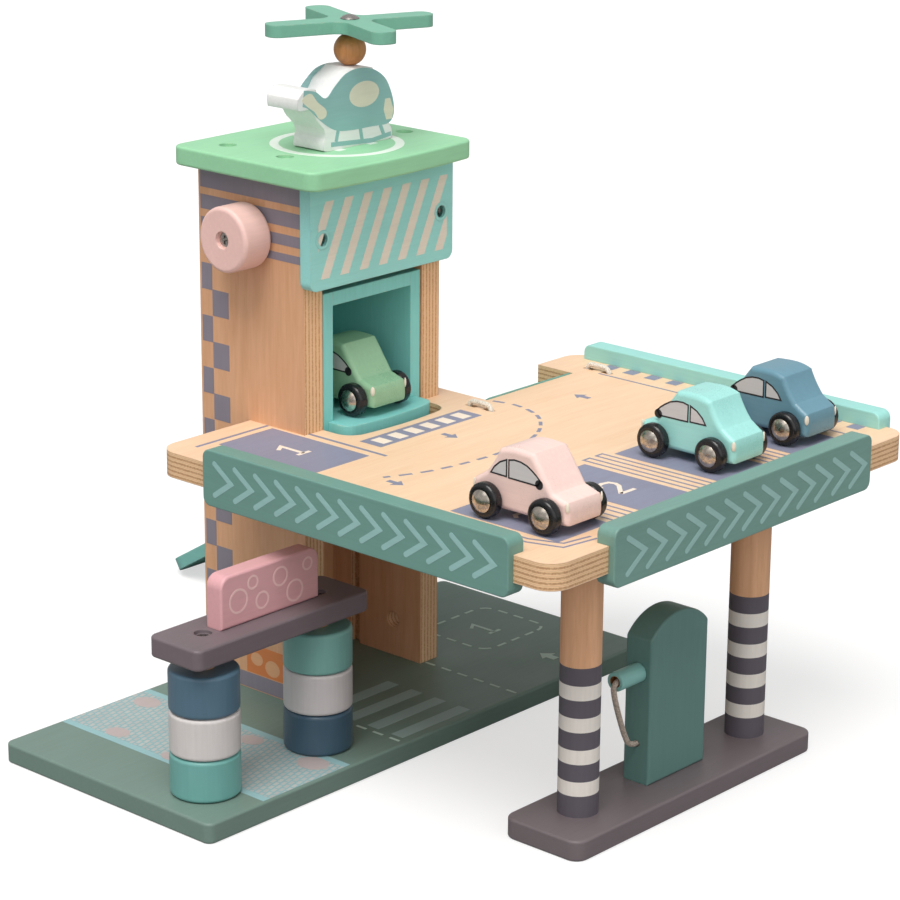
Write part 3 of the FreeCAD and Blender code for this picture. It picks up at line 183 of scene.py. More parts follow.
class GroupShelf:
    """The shader node groups that several finishes share, each built once."""

    def __init__(self) -> None:
        """Start with an empty shelf."""
        self.made: dict[str, bpy.types.NodeTree] = {}

    def start(self, name: str, inputs: Sequence[tuple[str, str, object]],
              outputs: Sequence[tuple[str, str]]) -> tuple[Recipe, bpy.types.Node, bpy.types.Node]:
        """Begin a group with its named sockets.

        Args:
            name: The group's name.
            inputs: Name, kind and default of each input.
            outputs: Name and kind of each output.

        Returns:
            The group's recipe, its input node and its output node.
        """
        tree = bpy.data.node_groups.new(name, "ShaderNodeTree")
        for label, kind, default in inputs:
            socket = tree.interface.new_socket(name=label, in_out="INPUT", socket_type="NodeSocket" + kind)
            socket.default_value = default
        for label, kind in outputs:
            tree.interface.new_socket(name=label, in_out="OUTPUT", socket_type="NodeSocket" + kind)
        self.made[name] = tree
        return Recipe(tree), tree.nodes.new("NodeGroupInput"), tree.nodes.new("NodeGroupOutput")

    def wood_grain(self) -> bpy.types.NodeTree:
        """Return the group of long fibres, growth bands and small pores."""
        if "WoodGrain" in self.made:
            return self.made["WoodGrain"]
        recipe, given, result = self.start(
            "WoodGrain",
            (("Light", "Color", (0.8, 0.6, 0.4, 1)), ("Dark", "Color", (0.6, 0.4, 0.25, 1)),
             ("Stretch", "Vector", (30.0, 420.0, 420.0)), ("Contrast", "Float", 1.0)),
            (("Color", "Color"), ("Height", "Float")))
        place = recipe.place()
        stretch = recipe.add("VectorMath", operation="MULTIPLY")
        recipe.join(place, stretch, 0)
        recipe.join(given.outputs["Stretch"], stretch, 1)
        long = stretch.outputs[0]
        fibres = recipe.spread(recipe.noise(long, 1.6, 5.0, 0.62, 0.25), 0.32, 0.7)
        bands = recipe.spread(recipe.noise(long, 0.22, 2.0, 0.5, 1.4), 0.3, 0.72)
        pores = recipe.spread(recipe.noise(long, 4.2, 2.0, 0.5), 0.66, 0.76)
        broad = recipe.calc("MULTIPLY", bands, 0.55)
        fine = recipe.calc("MULTIPLY", fibres, 0.45)
        depth = recipe.calc("MULTIPLY", recipe.calc("ADD", broad, fine), given.outputs["Contrast"], True)
        tone = recipe.blend(depth, given.outputs["Light"], given.outputs["Dark"])
        darker = recipe.blend(1.0, tone, (0.72, 0.62, 0.52, 1), "MULTIPLY")
        dots = recipe.calc("MULTIPLY", pores, recipe.calc("MULTIPLY", given.outputs["Contrast"], 0.5), True)
        recipe.join(recipe.blend(dots, tone, darker), result, "Color")
        recipe.join(recipe.calc("SUBTRACT", fibres, pores), result, "Height")
        return recipe.tree

    def ply_edge(self) -> bpy.types.NodeTree:
        """Return the group of glued layers that a plywood board shows on its edges."""
        if "PlyEdge" in self.made:
            return self.made["PlyEdge"]
        recipe, given, result = self.start(
            "PlyEdge",
            (("Depth", "Float", 0.5), ("Layers", "Float", 9.0), ("Light", "Color", (0.8, 0.6, 0.4, 1)),
             ("Dark", "Color", (0.45, 0.3, 0.2, 1))),
            (("Color", "Color"), ("Mask", "Float"), ("Height", "Float")))
        place = recipe.place()
        wander = recipe.spread(recipe.noise(place, 28.0, 3.0), 0.3, 0.7, -0.09, 0.09)
        count = recipe.calc("ADD", recipe.calc("MULTIPLY", given.outputs["Depth"], given.outputs["Layers"]), wander)
        swing = recipe.calc("ABSOLUTE", recipe.calc("SINE", recipe.calc("MULTIPLY", count, math.pi / 2)))
        end_grain = recipe.spread(swing, 0.58, 0.8)
        part = recipe.calc("FRACT", count)
        near = recipe.calc("MINIMUM", part, recipe.calc("SUBTRACT", 1.0, part))
        glue = recipe.spread(near, 0.03, 0.13, 1.0, 0.0)
        speck = recipe.spread(recipe.noise(place, 900.0, 2.0), 0.42, 0.66)
        layer = recipe.blend(recipe.calc("MULTIPLY", end_grain, recipe.calc("ADD", 0.55, speck), True),
                             given.outputs["Light"], given.outputs["Dark"])
        line = recipe.blend(1.0, layer, (0.55, 0.45, 0.38, 1), "MULTIPLY")
        recipe.join(recipe.blend(recipe.calc("MULTIPLY", glue, 0.7), layer, line), result, "Color")
        inner = recipe.spread(given.outputs["Depth"], 0.012, 0.045)
        outer = recipe.spread(given.outputs["Depth"], 0.955, 0.988, 1.0, 0.0)
        recipe.join(recipe.calc("MULTIPLY", inner, outer), result, "Mask")
        recipe.join(recipe.calc("SUBTRACT", recipe.calc("MULTIPLY", speck, 0.3), glue), result, "Height")
        return recipe.tree

    def soft_edge(self) -> bpy.types.NodeTree:
        """Return the group that rounds the look of an edge and finds where it is worn."""
        if "SoftEdge" in self.made:
            return self.made["SoftEdge"]
        recipe, given, result = self.start(
            "SoftEdge", (("Radius", "Float", 0.001), ("Amount", "Float", 1.0)),
            (("Normal", "Vector"), ("Wear", "Float")))
        bevel = recipe.add("Bevel", samples=6)
        recipe.join(given.outputs["Radius"], bevel, "Radius")
        recipe.join(bevel.outputs[0], result, "Normal")
        turn = recipe.add("VectorMath", operation="DOT_PRODUCT")
        recipe.join(bevel.outputs[0], turn, 0)
        recipe.join(recipe.add("NewGeometry").outputs["Normal"], turn, 1)
        edge = recipe.spread(turn.outputs["Value"], 0.995, 0.86)
        place = recipe.place()
        patches = recipe.spread(recipe.noise(place, 160.0, 5.0, 0.7), 0.47, 0.62)
        wear = recipe.calc("MULTIPLY", edge, patches)
        recipe.join(recipe.calc("MULTIPLY", wear, given.outputs["Amount"], True), result, "Wear")
        return recipe.tree

    def paint_film(self) -> bpy.types.NodeTree:
        """Return the group of a thin sprayed film that shows a little of the grain below it."""
        if "PaintFilm" in self.made:
            return self.made["PaintFilm"]
        recipe, given, result = self.start(
            "PaintFilm",
            (("Color", "Color", (0.5, 0.6, 0.6, 1)), ("Stretch", "Vector", (30.0, 420.0, 420.0)),
             ("Rough", "Float", 0.45)),
            (("Color", "Color"), ("Roughness", "Float"), ("Height", "Float")))
        place = recipe.place()
        stretch = recipe.add("VectorMath", operation="MULTIPLY")
        recipe.join(place, stretch, 0)
        recipe.join(given.outputs["Stretch"], stretch, 1)
        streak = recipe.noise(stretch.outputs[0], 1.3, 5.0, 0.6, 0.2)
        cloud = recipe.noise(place, 26.0, 3.0)
        spots = recipe.noise(place, 1400.0, 2.0)
        tone = recipe.calc("ADD", recipe.spread(streak, 0.3, 0.7, -0.035, 0.035),
                           recipe.spread(cloud, 0.3, 0.7, -0.03, 0.03))
        hue = recipe.add("HueSaturation")
        recipe.join(given.outputs["Color"], hue, "Color")
        recipe.join(recipe.calc("ADD", 1.0, tone), hue, "Value")
        recipe.join(hue.outputs[0], result, "Color")
        uneven = recipe.calc("ADD", given.outputs["Rough"], recipe.spread(cloud, 0.3, 0.7, -0.05, 0.07))
        recipe.join(recipe.calc("ADD", uneven, recipe.spread(spots, 0.3, 0.7, -0.03, 0.03)), result, "Roughness")
        recipe.join(recipe.calc("ADD", recipe.calc("MULTIPLY", streak, 0.7), recipe.calc("MULTIPLY", spots, 0.3)),
                    result, "Height")
        return recipe.tree


GROUPS = GroupShelf()


class Coat:
    """A material in the making: its recipe, its shader and the shared groups placed in it."""

    def __init__(self, name: str) -> None:
        """Make an empty material with one shader."""
        self.material = bpy.data.materials.new(name)
        self.material.use_nodes = True
        self.recipe = Recipe(self.material.node_tree)
        self.shader = self.material.node_tree.nodes["Principled BSDF"]

    def group(self, tree: bpy.types.NodeTree, **values: object) -> bpy.types.Node:
        """Place a shared group and give its inputs their values.

        Args:
            tree: The group's tree.
            values: Input values or sockets by name.

        Returns:
            The group's node.
        """
        node = self.recipe.add("Group")
        node.node_tree = tree
        for name, value in values.items():
            self.recipe.feed(node, name, value)
        return node

    def bump(self, height: bpy.types.NodeSocket, distance: float, strength: float = 0.5,
             normal: Optional[bpy.types.NodeSocket] = None) -> None:
        """Feed a height to the shader's normal, over a rounded normal if one is given."""
        node = self.recipe.add("Bump")
        node.inputs["Strength"].default_value = strength
        node.inputs["Distance"].default_value = distance
        self.recipe.join(height, node, "Height")
        if normal is not None:
            self.recipe.join(normal, node, "Normal")
        self.recipe.join(node.outputs[0], self.shader, "Normal")

    def film(self, colour: object, grain: Grain) -> None:
        """Cover the whole shader with a printed film.

        Args:
            colour: The film's colour, plain or as a socket.
            grain: The way that the fibres below it run.
        """
        film = self.group(GROUPS.paint_film(), Color=colour, Stretch=grain.value, Rough=0.5)
        self.recipe.join(film.outputs["Color"], self.shader, "Base Color")
        self.recipe.join(film.outputs["Roughness"], self.shader, "Roughness")
        self.bump(film.outputs["Height"], 0.0001, 0.3)

    def plain(self, **values: object) -> None:
        """Set constants on the shader's own sockets, with spaces written as underscores."""
        for name, value in values.items():
            self.shader.inputs[name.replace("_", " ")].default_value = value


@dataclass(frozen=True)
class Paint:
    """Satin paint over wood, a little worn along the edges."""

    name: str
    colour: str
    grain: Grain = Grain.ALONG_X
    rough: float = 0.42
    wear: float = 0.35
    worn: str = "#e9d6bd"
    radius: float = 0.0009

    def build(self) -> bpy.types.Material:
        """Return the finish as a material."""
        coat = Coat(self.name)
        film = coat.group(GROUPS.paint_film(), Color=shade(self.colour), Stretch=self.grain.value, Rough=self.rough)
        edge = coat.group(GROUPS.soft_edge(), Radius=self.radius, Amount=self.wear)
        colour = coat.recipe.blend(edge.outputs["Wear"], film.outputs["Color"], shade(self.worn))
        coat.recipe.join(colour, coat.shader, "Base Color")
        coat.recipe.join(film.outputs["Roughness"], coat.shader, "Roughness")
        coat.bump(film.outputs["Height"], 0.00012, 0.35, edge.outputs["Normal"])
        coat.plain(Specular_IOR_Level=0.42)
        return coat.material


@dataclass(frozen=True)
class PlyWood:
    """Varnished plywood: grain on its two faces and glued layers on its edges."""

    name: str
    light: str
    dark: str
    edge_light: str
    edge_dark: str
    axis: int
    low: float
    thick: float
    grain: Grain
    layers: float = 9.0
    contrast: float = 0.8

    def build(self) -> bpy.types.Material:
        """Return the finish as a material."""
        coat = Coat(self.name)
        recipe = coat.recipe
        split = recipe.add("SeparateXYZ")
        recipe.join(recipe.place(), split, 0)
        start = self.low * 0.001 + SHIFT[self.axis]
        depth = recipe.calc("DIVIDE", recipe.calc("SUBTRACT", split.outputs[self.axis], start), self.thick * 0.001)
        face = coat.group(GROUPS.wood_grain(), Light=shade(self.light), Dark=shade(self.dark),
                          Stretch=self.grain.value, Contrast=self.contrast)
        edge = coat.group(GROUPS.ply_edge(), Depth=depth, Layers=self.layers, Light=shade(self.edge_light),
                          Dark=shade(self.edge_dark))
        mask = edge.outputs["Mask"]
        soft = coat.group(GROUPS.soft_edge(), Radius=0.0008, Amount=0.0)
        recipe.join(recipe.blend(mask, face.outputs["Color"], edge.outputs["Color"]), coat.shader, "Base Color")
        recipe.join(recipe.spread(mask, 0.0, 1.0, 0.42, 0.6), coat.shader, "Roughness")
        height = recipe.add("Mix", data_type="FLOAT")
        recipe.join(mask, height, 0)
        recipe.join(face.outputs["Height"], height, 2)
        recipe.join(edge.outputs["Height"], height, 3)
        coat.bump(height.outputs[0], 0.00012, 0.4, soft.outputs["Normal"])
        return coat.material


@dataclass(frozen=True)
class SolidWood:
    """Turned or sawn wood under a thin clear varnish."""

    name: str
    light: str
    dark: str
    grain: Grain
    contrast: float = 0.9
    rough: float = 0.45

    def build(self) -> bpy.types.Material:
        """Return the finish as a material."""
        coat = Coat(self.name)
        wood = coat.group(GROUPS.wood_grain(), Light=shade(self.light), Dark=shade(self.dark),
                          Stretch=self.grain.value, Contrast=self.contrast)
        coat.recipe.join(wood.outputs["Color"], coat.shader, "Base Color")
        rough = coat.recipe.spread(wood.outputs["Height"], -0.5, 1.0, self.rough + 0.12, self.rough - 0.05)
        coat.recipe.join(rough, coat.shader, "Roughness")
        coat.bump(wood.outputs["Height"], 0.00012, 0.4)
        return coat.material


@dataclass(frozen=True)
class BandedPost:
    """A natural wood post whose lower half is painted in dark and white bands."""

    name: str
    wood_light: str = "#f0bb92"
    wood_dark: str = "#d39a6f"
    dark_paint: str = "#5d5760"
    white_paint: str = "#ebe4dc"
    top: float = 97.9
    pitch: float = 18.35
    foot_top: float = 14.8
    dark_share: float = 0.55

    def build(self) -> bpy.types.Material:
        """Return the finish as a material."""
        coat = Coat(self.name)
        recipe = coat.recipe
        split = recipe.add("SeparateXYZ")
        recipe.join(recipe.place(), split, 0)
        below = recipe.calc("SUBTRACT", self.top * 0.001, split.outputs[2])
        part = recipe.calc("FRACT", recipe.calc("DIVIDE", below, self.pitch * 0.001))
        is_dark = recipe.calc("LESS_THAN", part, self.dark_share)
        is_dark = recipe.calc("MAXIMUM", is_dark, recipe.calc("LESS_THAN", split.outputs[2], self.foot_top * 0.001))
        painted = recipe.calc("GREATER_THAN", below, 0.0)
        wood = coat.group(GROUPS.wood_grain(), Light=shade(self.wood_light), Dark=shade(self.wood_dark),
                          Stretch=Grain.ALONG_Z.value, Contrast=0.8)
        bands = recipe.blend(is_dark, shade(self.white_paint), shade(self.dark_paint))
        film = coat.group(GROUPS.paint_film(), Color=bands, Stretch=Grain.ALONG_Z.value, Rough=0.5)
        recipe.join(recipe.blend(painted, wood.outputs["Color"], film.outputs["Color"]), coat.shader, "Base Color")
        recipe.join(film.outputs["Roughness"], coat.shader, "Roughness")
        coat.bump(film.outputs["Height"], 0.00012, 0.35)
        return coat.material


@dataclass(frozen=True)
class NozzlePaint:
    """Painted dowel whose end recess shows bare brown wood."""

    name: str
    paint: str
    wood: str
    axis_x: float
    axis_z: float
    recess: float

    def build(self) -> bpy.types.Material:
        """Return the finish as a material."""
        coat = Coat(self.name)
        recipe = coat.recipe
        middle = at(self.axis_x, 0, self.axis_z)
        away = recipe.add("VectorMath", operation="SUBTRACT")
        recipe.join(recipe.place(), away, 0)
        away.inputs[1].default_value = middle
        flat = recipe.add("VectorMath", operation="MULTIPLY")
        recipe.join(away.outputs[0], flat, 0)
        flat.inputs[1].default_value = (1.0, 0.0, 1.0)
        size = recipe.add("VectorMath", operation="LENGTH")
        recipe.join(flat.outputs[0], size, 0)
        bare = recipe.calc("LESS_THAN", size.outputs["Value"], self.recess * 0.001)
        film = coat.group(GROUPS.paint_film(), Color=shade(self.paint), Stretch=Grain.ALONG_Y.value, Rough=0.42)
        wood = coat.group(GROUPS.wood_grain(), Light=shade(self.wood), Dark=shade("#7a4a2c"),
                          Stretch=Grain.ALONG_Y.value, Contrast=0.8)
        recipe.join(recipe.blend(bare, film.outputs["Color"], wood.outputs["Color"]), coat.shader, "Base Color")
        recipe.join(film.outputs["Roughness"], coat.shader, "Roughness")
        coat.bump(film.outputs["Height"], 0.00012, 0.35)
        return coat.material


@dataclass(frozen=True)
class Steel:
    """Plated steel of screws and pins, with fine turning marks."""

    name: str
    colour: str = "#c9c6c2"
    rough: float = 0.24

    def build(self) -> bpy.types.Material:
        """Return the finish as a material."""
        coat = Coat(self.name)
        recipe = coat.recipe
        place = recipe.place()
        cloud = recipe.noise(place, 420.0, 4.0)
        fine = recipe.noise(place, 5200.0, 2.0)
        colour = recipe.blend(recipe.spread(cloud, 0.35, 0.7), shade(self.colour), shade("#9a9691"))
        recipe.join(colour, coat.shader, "Base Color")
        recipe.join(recipe.spread(cloud, 0.3, 0.7, self.rough - 0.05, self.rough + 0.1), coat.shader, "Roughness")
        coat.bump(fine, 0.00003, 0.2)
        coat.plain(Metallic=1.0)
        return coat.material


@dataclass(frozen=True)
class TyreRubber:
    """Shiny black moulded tyre."""

    name: str
    colour: str = "#17171a"

    def build(self) -> bpy.types.Material:
        """Return the finish as a material."""
        coat = Coat(self.name)
        recipe = coat.recipe
        place = recipe.place()
        cloud = recipe.noise(place, 260.0, 4.0)
        dust = recipe.spread(recipe.noise(place, 1500.0, 3.0), 0.62, 0.8, 0.0, 0.25)
        recipe.join(recipe.blend(dust, shade(self.colour), shade("#4a4a50")), coat.shader, "Base Color")
        recipe.join(recipe.spread(cloud, 0.3, 0.7, 0.2, 0.34), coat.shader, "Roughness")
        coat.bump(cloud, 0.00008, 0.2)
        return coat.material


@dataclass(frozen=True)
class Ink:
    """A flat printed colour with a trace of the board below it."""

    name: str
    colour: str
    grain: Grain = Grain.ALONG_X

    def build(self) -> bpy.types.Material:
        """Return the finish as a material."""
        coat = Coat(self.name)
        coat.film(shade(self.colour), self.grain)
        return coat.material


@dataclass(frozen=True)
class WashMat:
    """The printed wash mat: rows of small pale tiles between blue lines."""

    name: str
    tile: str = "#b3b6b2"
    line: str = "#86abb0"
    second_tile: str = "#a9acaa"
    across: float = 5.2
    along: float = 3.4
    gap: float = 0.7
    slant: float = 14.0

    def build(self) -> bpy.types.Material:
        """Return the finish as a material."""
        coat = Coat(self.name)
        recipe = coat.recipe
        turn = recipe.add("Mapping")
        recipe.join(recipe.place(), turn, 0)
        turn.inputs["Rotation"].default_value = (0.0, 0.0, math.radians(90 - self.slant))
        bricks = recipe.add("TexBrick", offset=0.5, squash=1.0)
        recipe.join(turn.outputs[0], bricks, "Vector")
        for name, value in (("Scale", 1.0), ("Mortar Size", self.gap * 0.001), ("Mortar Smooth", 0.35), ("Bias", 0.0),
                            ("Brick Width", self.across * 0.001), ("Row Height", self.along * 0.001)):
            bricks.inputs[name].default_value = value
        bricks.inputs["Color1"].default_value = shade(self.tile)
        bricks.inputs["Color2"].default_value = shade(self.second_tile)
        bricks.inputs["Mortar"].default_value = shade(self.line)
        coat.film(bricks.outputs["Color"], Grain.ALONG_Y)
        return coat.material


@dataclass(frozen=True)
class BraidedCord:
    """Woven cotton cord with small slanting strands."""

    name: str
    light: str
    dark: str

    def build(self) -> bpy.types.Material:
        """Return the finish as a material."""
        coat = Coat(self.name)
        recipe = coat.recipe
        place = recipe.place()
        weave = recipe.add("TexVoronoi", feature="SMOOTH_F1")
        recipe.join(place, weave, "Vector")
        weave.inputs["Scale"].default_value = 1300.0
        fuzz = recipe.noise(place, 3800.0, 3.0)
        tone = recipe.spread(weave.outputs["Distance"], 0.15, 0.75)
        recipe.join(recipe.blend(tone, shade(self.light), shade(self.dark)), coat.shader, "Base Color")
        recipe.join(recipe.spread(fuzz, 0.3, 0.7, 0.75, 0.95), coat.shader, "Roughness")
        height = recipe.calc("SUBTRACT", recipe.calc("MULTIPLY", fuzz, 0.3), weave.outputs["Distance"])
        coat.bump(height, 0.0004, 0.8)
        coat.plain(Sheen_Weight=0.2)
        return coat.material


def dress(node: str, finish: object, material: Optional[bpy.types.Material] = None) -> bpy.types.Material:
    """Put a finish on a carried-over node.

    Args:
        node: The node's name.
        finish: The finish to build, unless a material is given.
        material: A material that is already built.

    Returns:
        The material.
    """
    material = material or finish.build()
    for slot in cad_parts[node].material_slots:
        slot.material = material
    log.info("dressed %s with %s", node, material.name)
    return material


def settle(name: str, mesh: bmesh.types.BMesh, body: str, material: bpy.types.Material,
           smooth: bool = False) -> bpy.types.Object:
    """Turn a finished bmesh into a piece that rides on a body.

    Args:
        name: The piece's name.
        mesh: The shape, already in the frame's metres.
        body: The body that it moves with.
        material: Its finish.
        smooth: Whether its faces are shaded smooth.

    Returns:
        The new object.
    """
    bmesh.ops.recalc_face_normals(mesh, faces=mesh.faces)
    data = bpy.data.meshes.new(name)
    mesh.to_mesh(data)
    mesh.free()
    data.materials.append(material)
    for face in data.polygons:
        face.use_smooth = smooth
    piece = bpy.data.objects.new(name, data)
    bpy.context.scene.collection.objects.link(piece)
    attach(piece, body)
    log.info("piece %s on %s, %d faces", name, body, len(data.polygons))
    return piece


def show(name: str, data: bpy.types.Mesh, material: bpy.types.Material) -> bpy.types.Object:
    """Put a smooth mesh in the scene under its own finish.

    Args:
        name: The piece's name.
        data: Its mesh, already in the frame's metres.
        material: Its finish.

    Returns:
        The new object, which rides on nothing yet.
    """
    data.materials.clear()
    data.materials.append(material)
    for face in data.polygons:
        face.use_smooth = True
    piece = bpy.data.objects.new(name, data)
    bpy.context.scene.collection.objects.link(piece)
    return piece


def bent(points: Sequence[Vector], radius: float, resolution: int, closed: bool = False) -> bpy.types.Mesh:
    """Return a smoothly bent round cord as a mesh, or its bare line where the radius is nothing.

    Args:
        points: The places that pull the cord.
        radius: The cord's radius.
        resolution: The steps from one place to the next.
        closed: Whether the cord is a loop.

    Returns:
        The mesh.
    """
    data = bpy.data.curves.new("bent_cord", "CURVE")
    data.dimensions = "3D"
    data.resolution_u = resolution
    data.bevel_depth = radius
    data.bevel_resolution = 5
    line = data.splines.new("NURBS")
    line.points.add(len(points) - 1)
    for point, place in zip(line.points, points):
        point.co = (*place, 1.0)
    line.order_u = 3
    line.use_cyclic_u = closed
    line.use_endpoint_u = not closed
    curve = bpy.data.objects.new("bent_cord", data)
    bpy.context.scene.collection.objects.link(curve)
    bpy.context.view_layer.update()
    mesh = bpy.data.meshes.new_from_object(curve)
    bpy.data.objects.remove(curve)
    return mesh


def arc(middle: Point, radius: Point, start: float, end: float, steps: int = 12) -> list[Point]:
    """Return places along an elliptic arc.

    Args:
        middle: The arc's middle.
        radius: Its two radii.
        start: The first angle in degrees.
        end: The last angle in degrees.
        steps: The number of runs.

    Returns:
        The places, both ends among them.
    """
    angles = [math.radians(start + (end - start) * i / steps) for i in range(steps + 1)]
    return [(middle[0] + radius[0] * math.cos(a), middle[1] + radius[1] * math.sin(a)) for a in angles]


def swept(points: Sequence[Point], per_run: int = 6) -> list[Point]:
    """Return a smooth line through the points, by uniform Catmull-Rom runs."""
    ends = [points[0], *points, points[-1]]
    line: list[Point] = []
    for i in range(1, len(ends) - 2):
        p0, p1, p2, p3 = (Vector(p) for p in ends[i - 1:i + 3])
        for step in range(per_run):
            t = step / per_run
            spot = 0.5 * (2 * p1 + (p2 - p0) * t + (2 * p0 - 5 * p1 + 4 * p2 - p3) * t ** 2
                          + (3 * p1 - p0 - 3 * p2 + p3) * t ** 3)
            line.append((spot.x, spot.y))
    line.append(tuple(points[-1]))
    return line


class Print:
    """One ink on one flat side of a board, laid down as a very thin plate."""

    def __init__(self, side: Side, level: float, proud: float = 0.1) -> None:
        """Start an empty print.

        Args:
            side: The side that it lies on.
            level: That side's place on its outward axis, in workshop millimetres.
            proud: How far it stands out, in millimetres.
        """
        self.side = side
        self.level = level
        self.proud = proud
        self.mesh = bmesh.new()

    def panel(self, points: Sequence[Point]) -> None:
        """Lay down a filled outline."""
        self.mesh.faces.new([self.mesh.verts.new((p[0], p[1], 0.0)) for p in points])

    def block(self, low: Point, high: Point) -> None:
        """Lay down a filled rectangle."""
        self.panel((low, (high[0], low[1]), high, (low[0], high[1])))

    def disc(self, middle: Point, radius: Point, steps: int = 32) -> None:
        """Lay down a filled ellipse."""
        self.panel(arc(middle, radius, 0, 360 * (steps - 1) / steps, steps - 1))

    def stroke(self, points: Sequence[Point], width: float, closed: bool = False, rounded: bool = False) -> None:
        """Lay down a line of even width, drawn by pushing its starting edge from point to point.

        Args:
            points: The line's places.
            width: The line's width.
            closed: Whether the line returns to its start.
            rounded: Whether its ends are round.
        """
        line = [Vector(p) for p in points]
        rims: list[tuple[Vector, Vector]] = []
        last = len(line) - 1
        for i, here in enumerate(line):
            before = line[i - 1] if i > 0 or closed else None
            after = line[(i + 1) % len(line)] if i < last or closed else None
            ways = [w.normalized() for w in (here - before if before is not None else None,
                                             after - here if after is not None else None) if w is not None]
            along = sum(ways, Vector((0, 0))).normalized()
            across = Vector((-along.y, along.x))
            reach = width / 2 / max(0.5, across.dot(Vector((-ways[0].y, ways[0].x))))
            rims.append((here + across * reach, here - across * reach))
        pair = [self.mesh.verts.new((*rim, 0.0)) for rim in rims[0]]
        first = pair
        for left, right in rims[1:]:
            fresh = [self.mesh.verts.new((*left, 0.0)), self.mesh.verts.new((*right, 0.0))]
            self.mesh.faces.new((pair[0], fresh[0], fresh[1], pair[1]))
            pair = fresh
        if closed:
            self.mesh.faces.new((pair[0], first[0], first[1], pair[1]))
        if rounded:
            for here, there in ((line[0], line[1]), (line[-1], line[-2])):
                way = math.degrees(math.atan2((here - there).y, (here - there).x))
                self.panel(arc((here.x, here.y), (width / 2, width / 2), way - 90, way + 90, 8))

    def ring(self, middle: Point, radius: float, width: float, steps: int = 64) -> None:
        """Lay down a circle of even width."""
        self.stroke(arc(middle, (radius, radius), 0, 360 * (steps - 1) / steps, steps - 1), width, closed=True)

    def dashes(self, points: Sequence[Point], width: float, dash: float, gap: float) -> None:
        """Lay down a broken line.

        Args:
            points: The line's places.
            width: The line's width.
            dash: Each dash's length.
            gap: The room between two dashes.
        """
        run: list[Point] = []
        travelled = 0.0
        step = 0.5
        for start, end in zip(points, points[1:]):
            a, b = Vector(start), Vector(end)
            count = max(1, round((b - a).length / step))
            for i in range(count):
                spot = a.lerp(b, i / count)
                if travelled % (dash + gap) < dash:
                    run.append((spot.x, spot.y))
                elif len(run) > 3:
                    self.stroke(run[::4] + [run[-1]] if (len(run) - 1) % 4 else run[::4], width)
                    run = []
                else:
                    run = []
                travelled += (b - a).length / count
        if len(run) > 3:
            self.stroke((run[0], run[-1]), width)

    def clip(self, low: Point, high: Point) -> None:
        """Cut away whatever lies outside a rectangle."""
        for spot, way in ((low, (-1, 0)), (low, (0, -1)), (high, (1, 0)), (high, (0, 1))):
            everything = self.mesh.verts[:] + self.mesh.edges[:] + self.mesh.faces[:]
            bmesh.ops.bisect_plane(self.mesh, geom=everything, dist=0.0001, plane_co=(*spot, 0.0),
                                   plane_no=(*way, 0.0), clear_outer=True)

    def finish(self, name: str, body: str, material: bpy.types.Material) -> bpy.types.Object:
        """Give the print its thickness, move it to its side and settle it on a body.

        Args:
            name: The piece's name.
            body: The body that it moves with.
            material: Its ink.

        Returns:
            The new object.
        """
        sunk = 0.08
        bmesh.ops.translate(self.mesh, verts=self.mesh.verts, vec=(0, 0, -sunk))
        grown = bmesh.ops.extrude_face_region(self.mesh, geom=self.mesh.faces[:], use_keep_orig=True)
        tops = [item for item in grown["geom"] if isinstance(item, bmesh.types.BMVert)]
        bmesh.ops.translate(self.mesh, verts=tops, vec=(0, 0, sunk + self.proud))
        across, up, out = (Vector(way) for way in self.side.value)
        turn = Matrix((across, up, out)).transposed().to_4x4()
        place = Matrix.Translation(SHIFT + out * abs(self.level) * 0.001 * (1 if sum(out) > 0 else -1))
        bmesh.ops.transform(self.mesh, matrix=place @ Matrix.Scale(0.001, 4) @ turn, verts=self.mesh.verts)
        return settle(name, self.mesh, body, material)


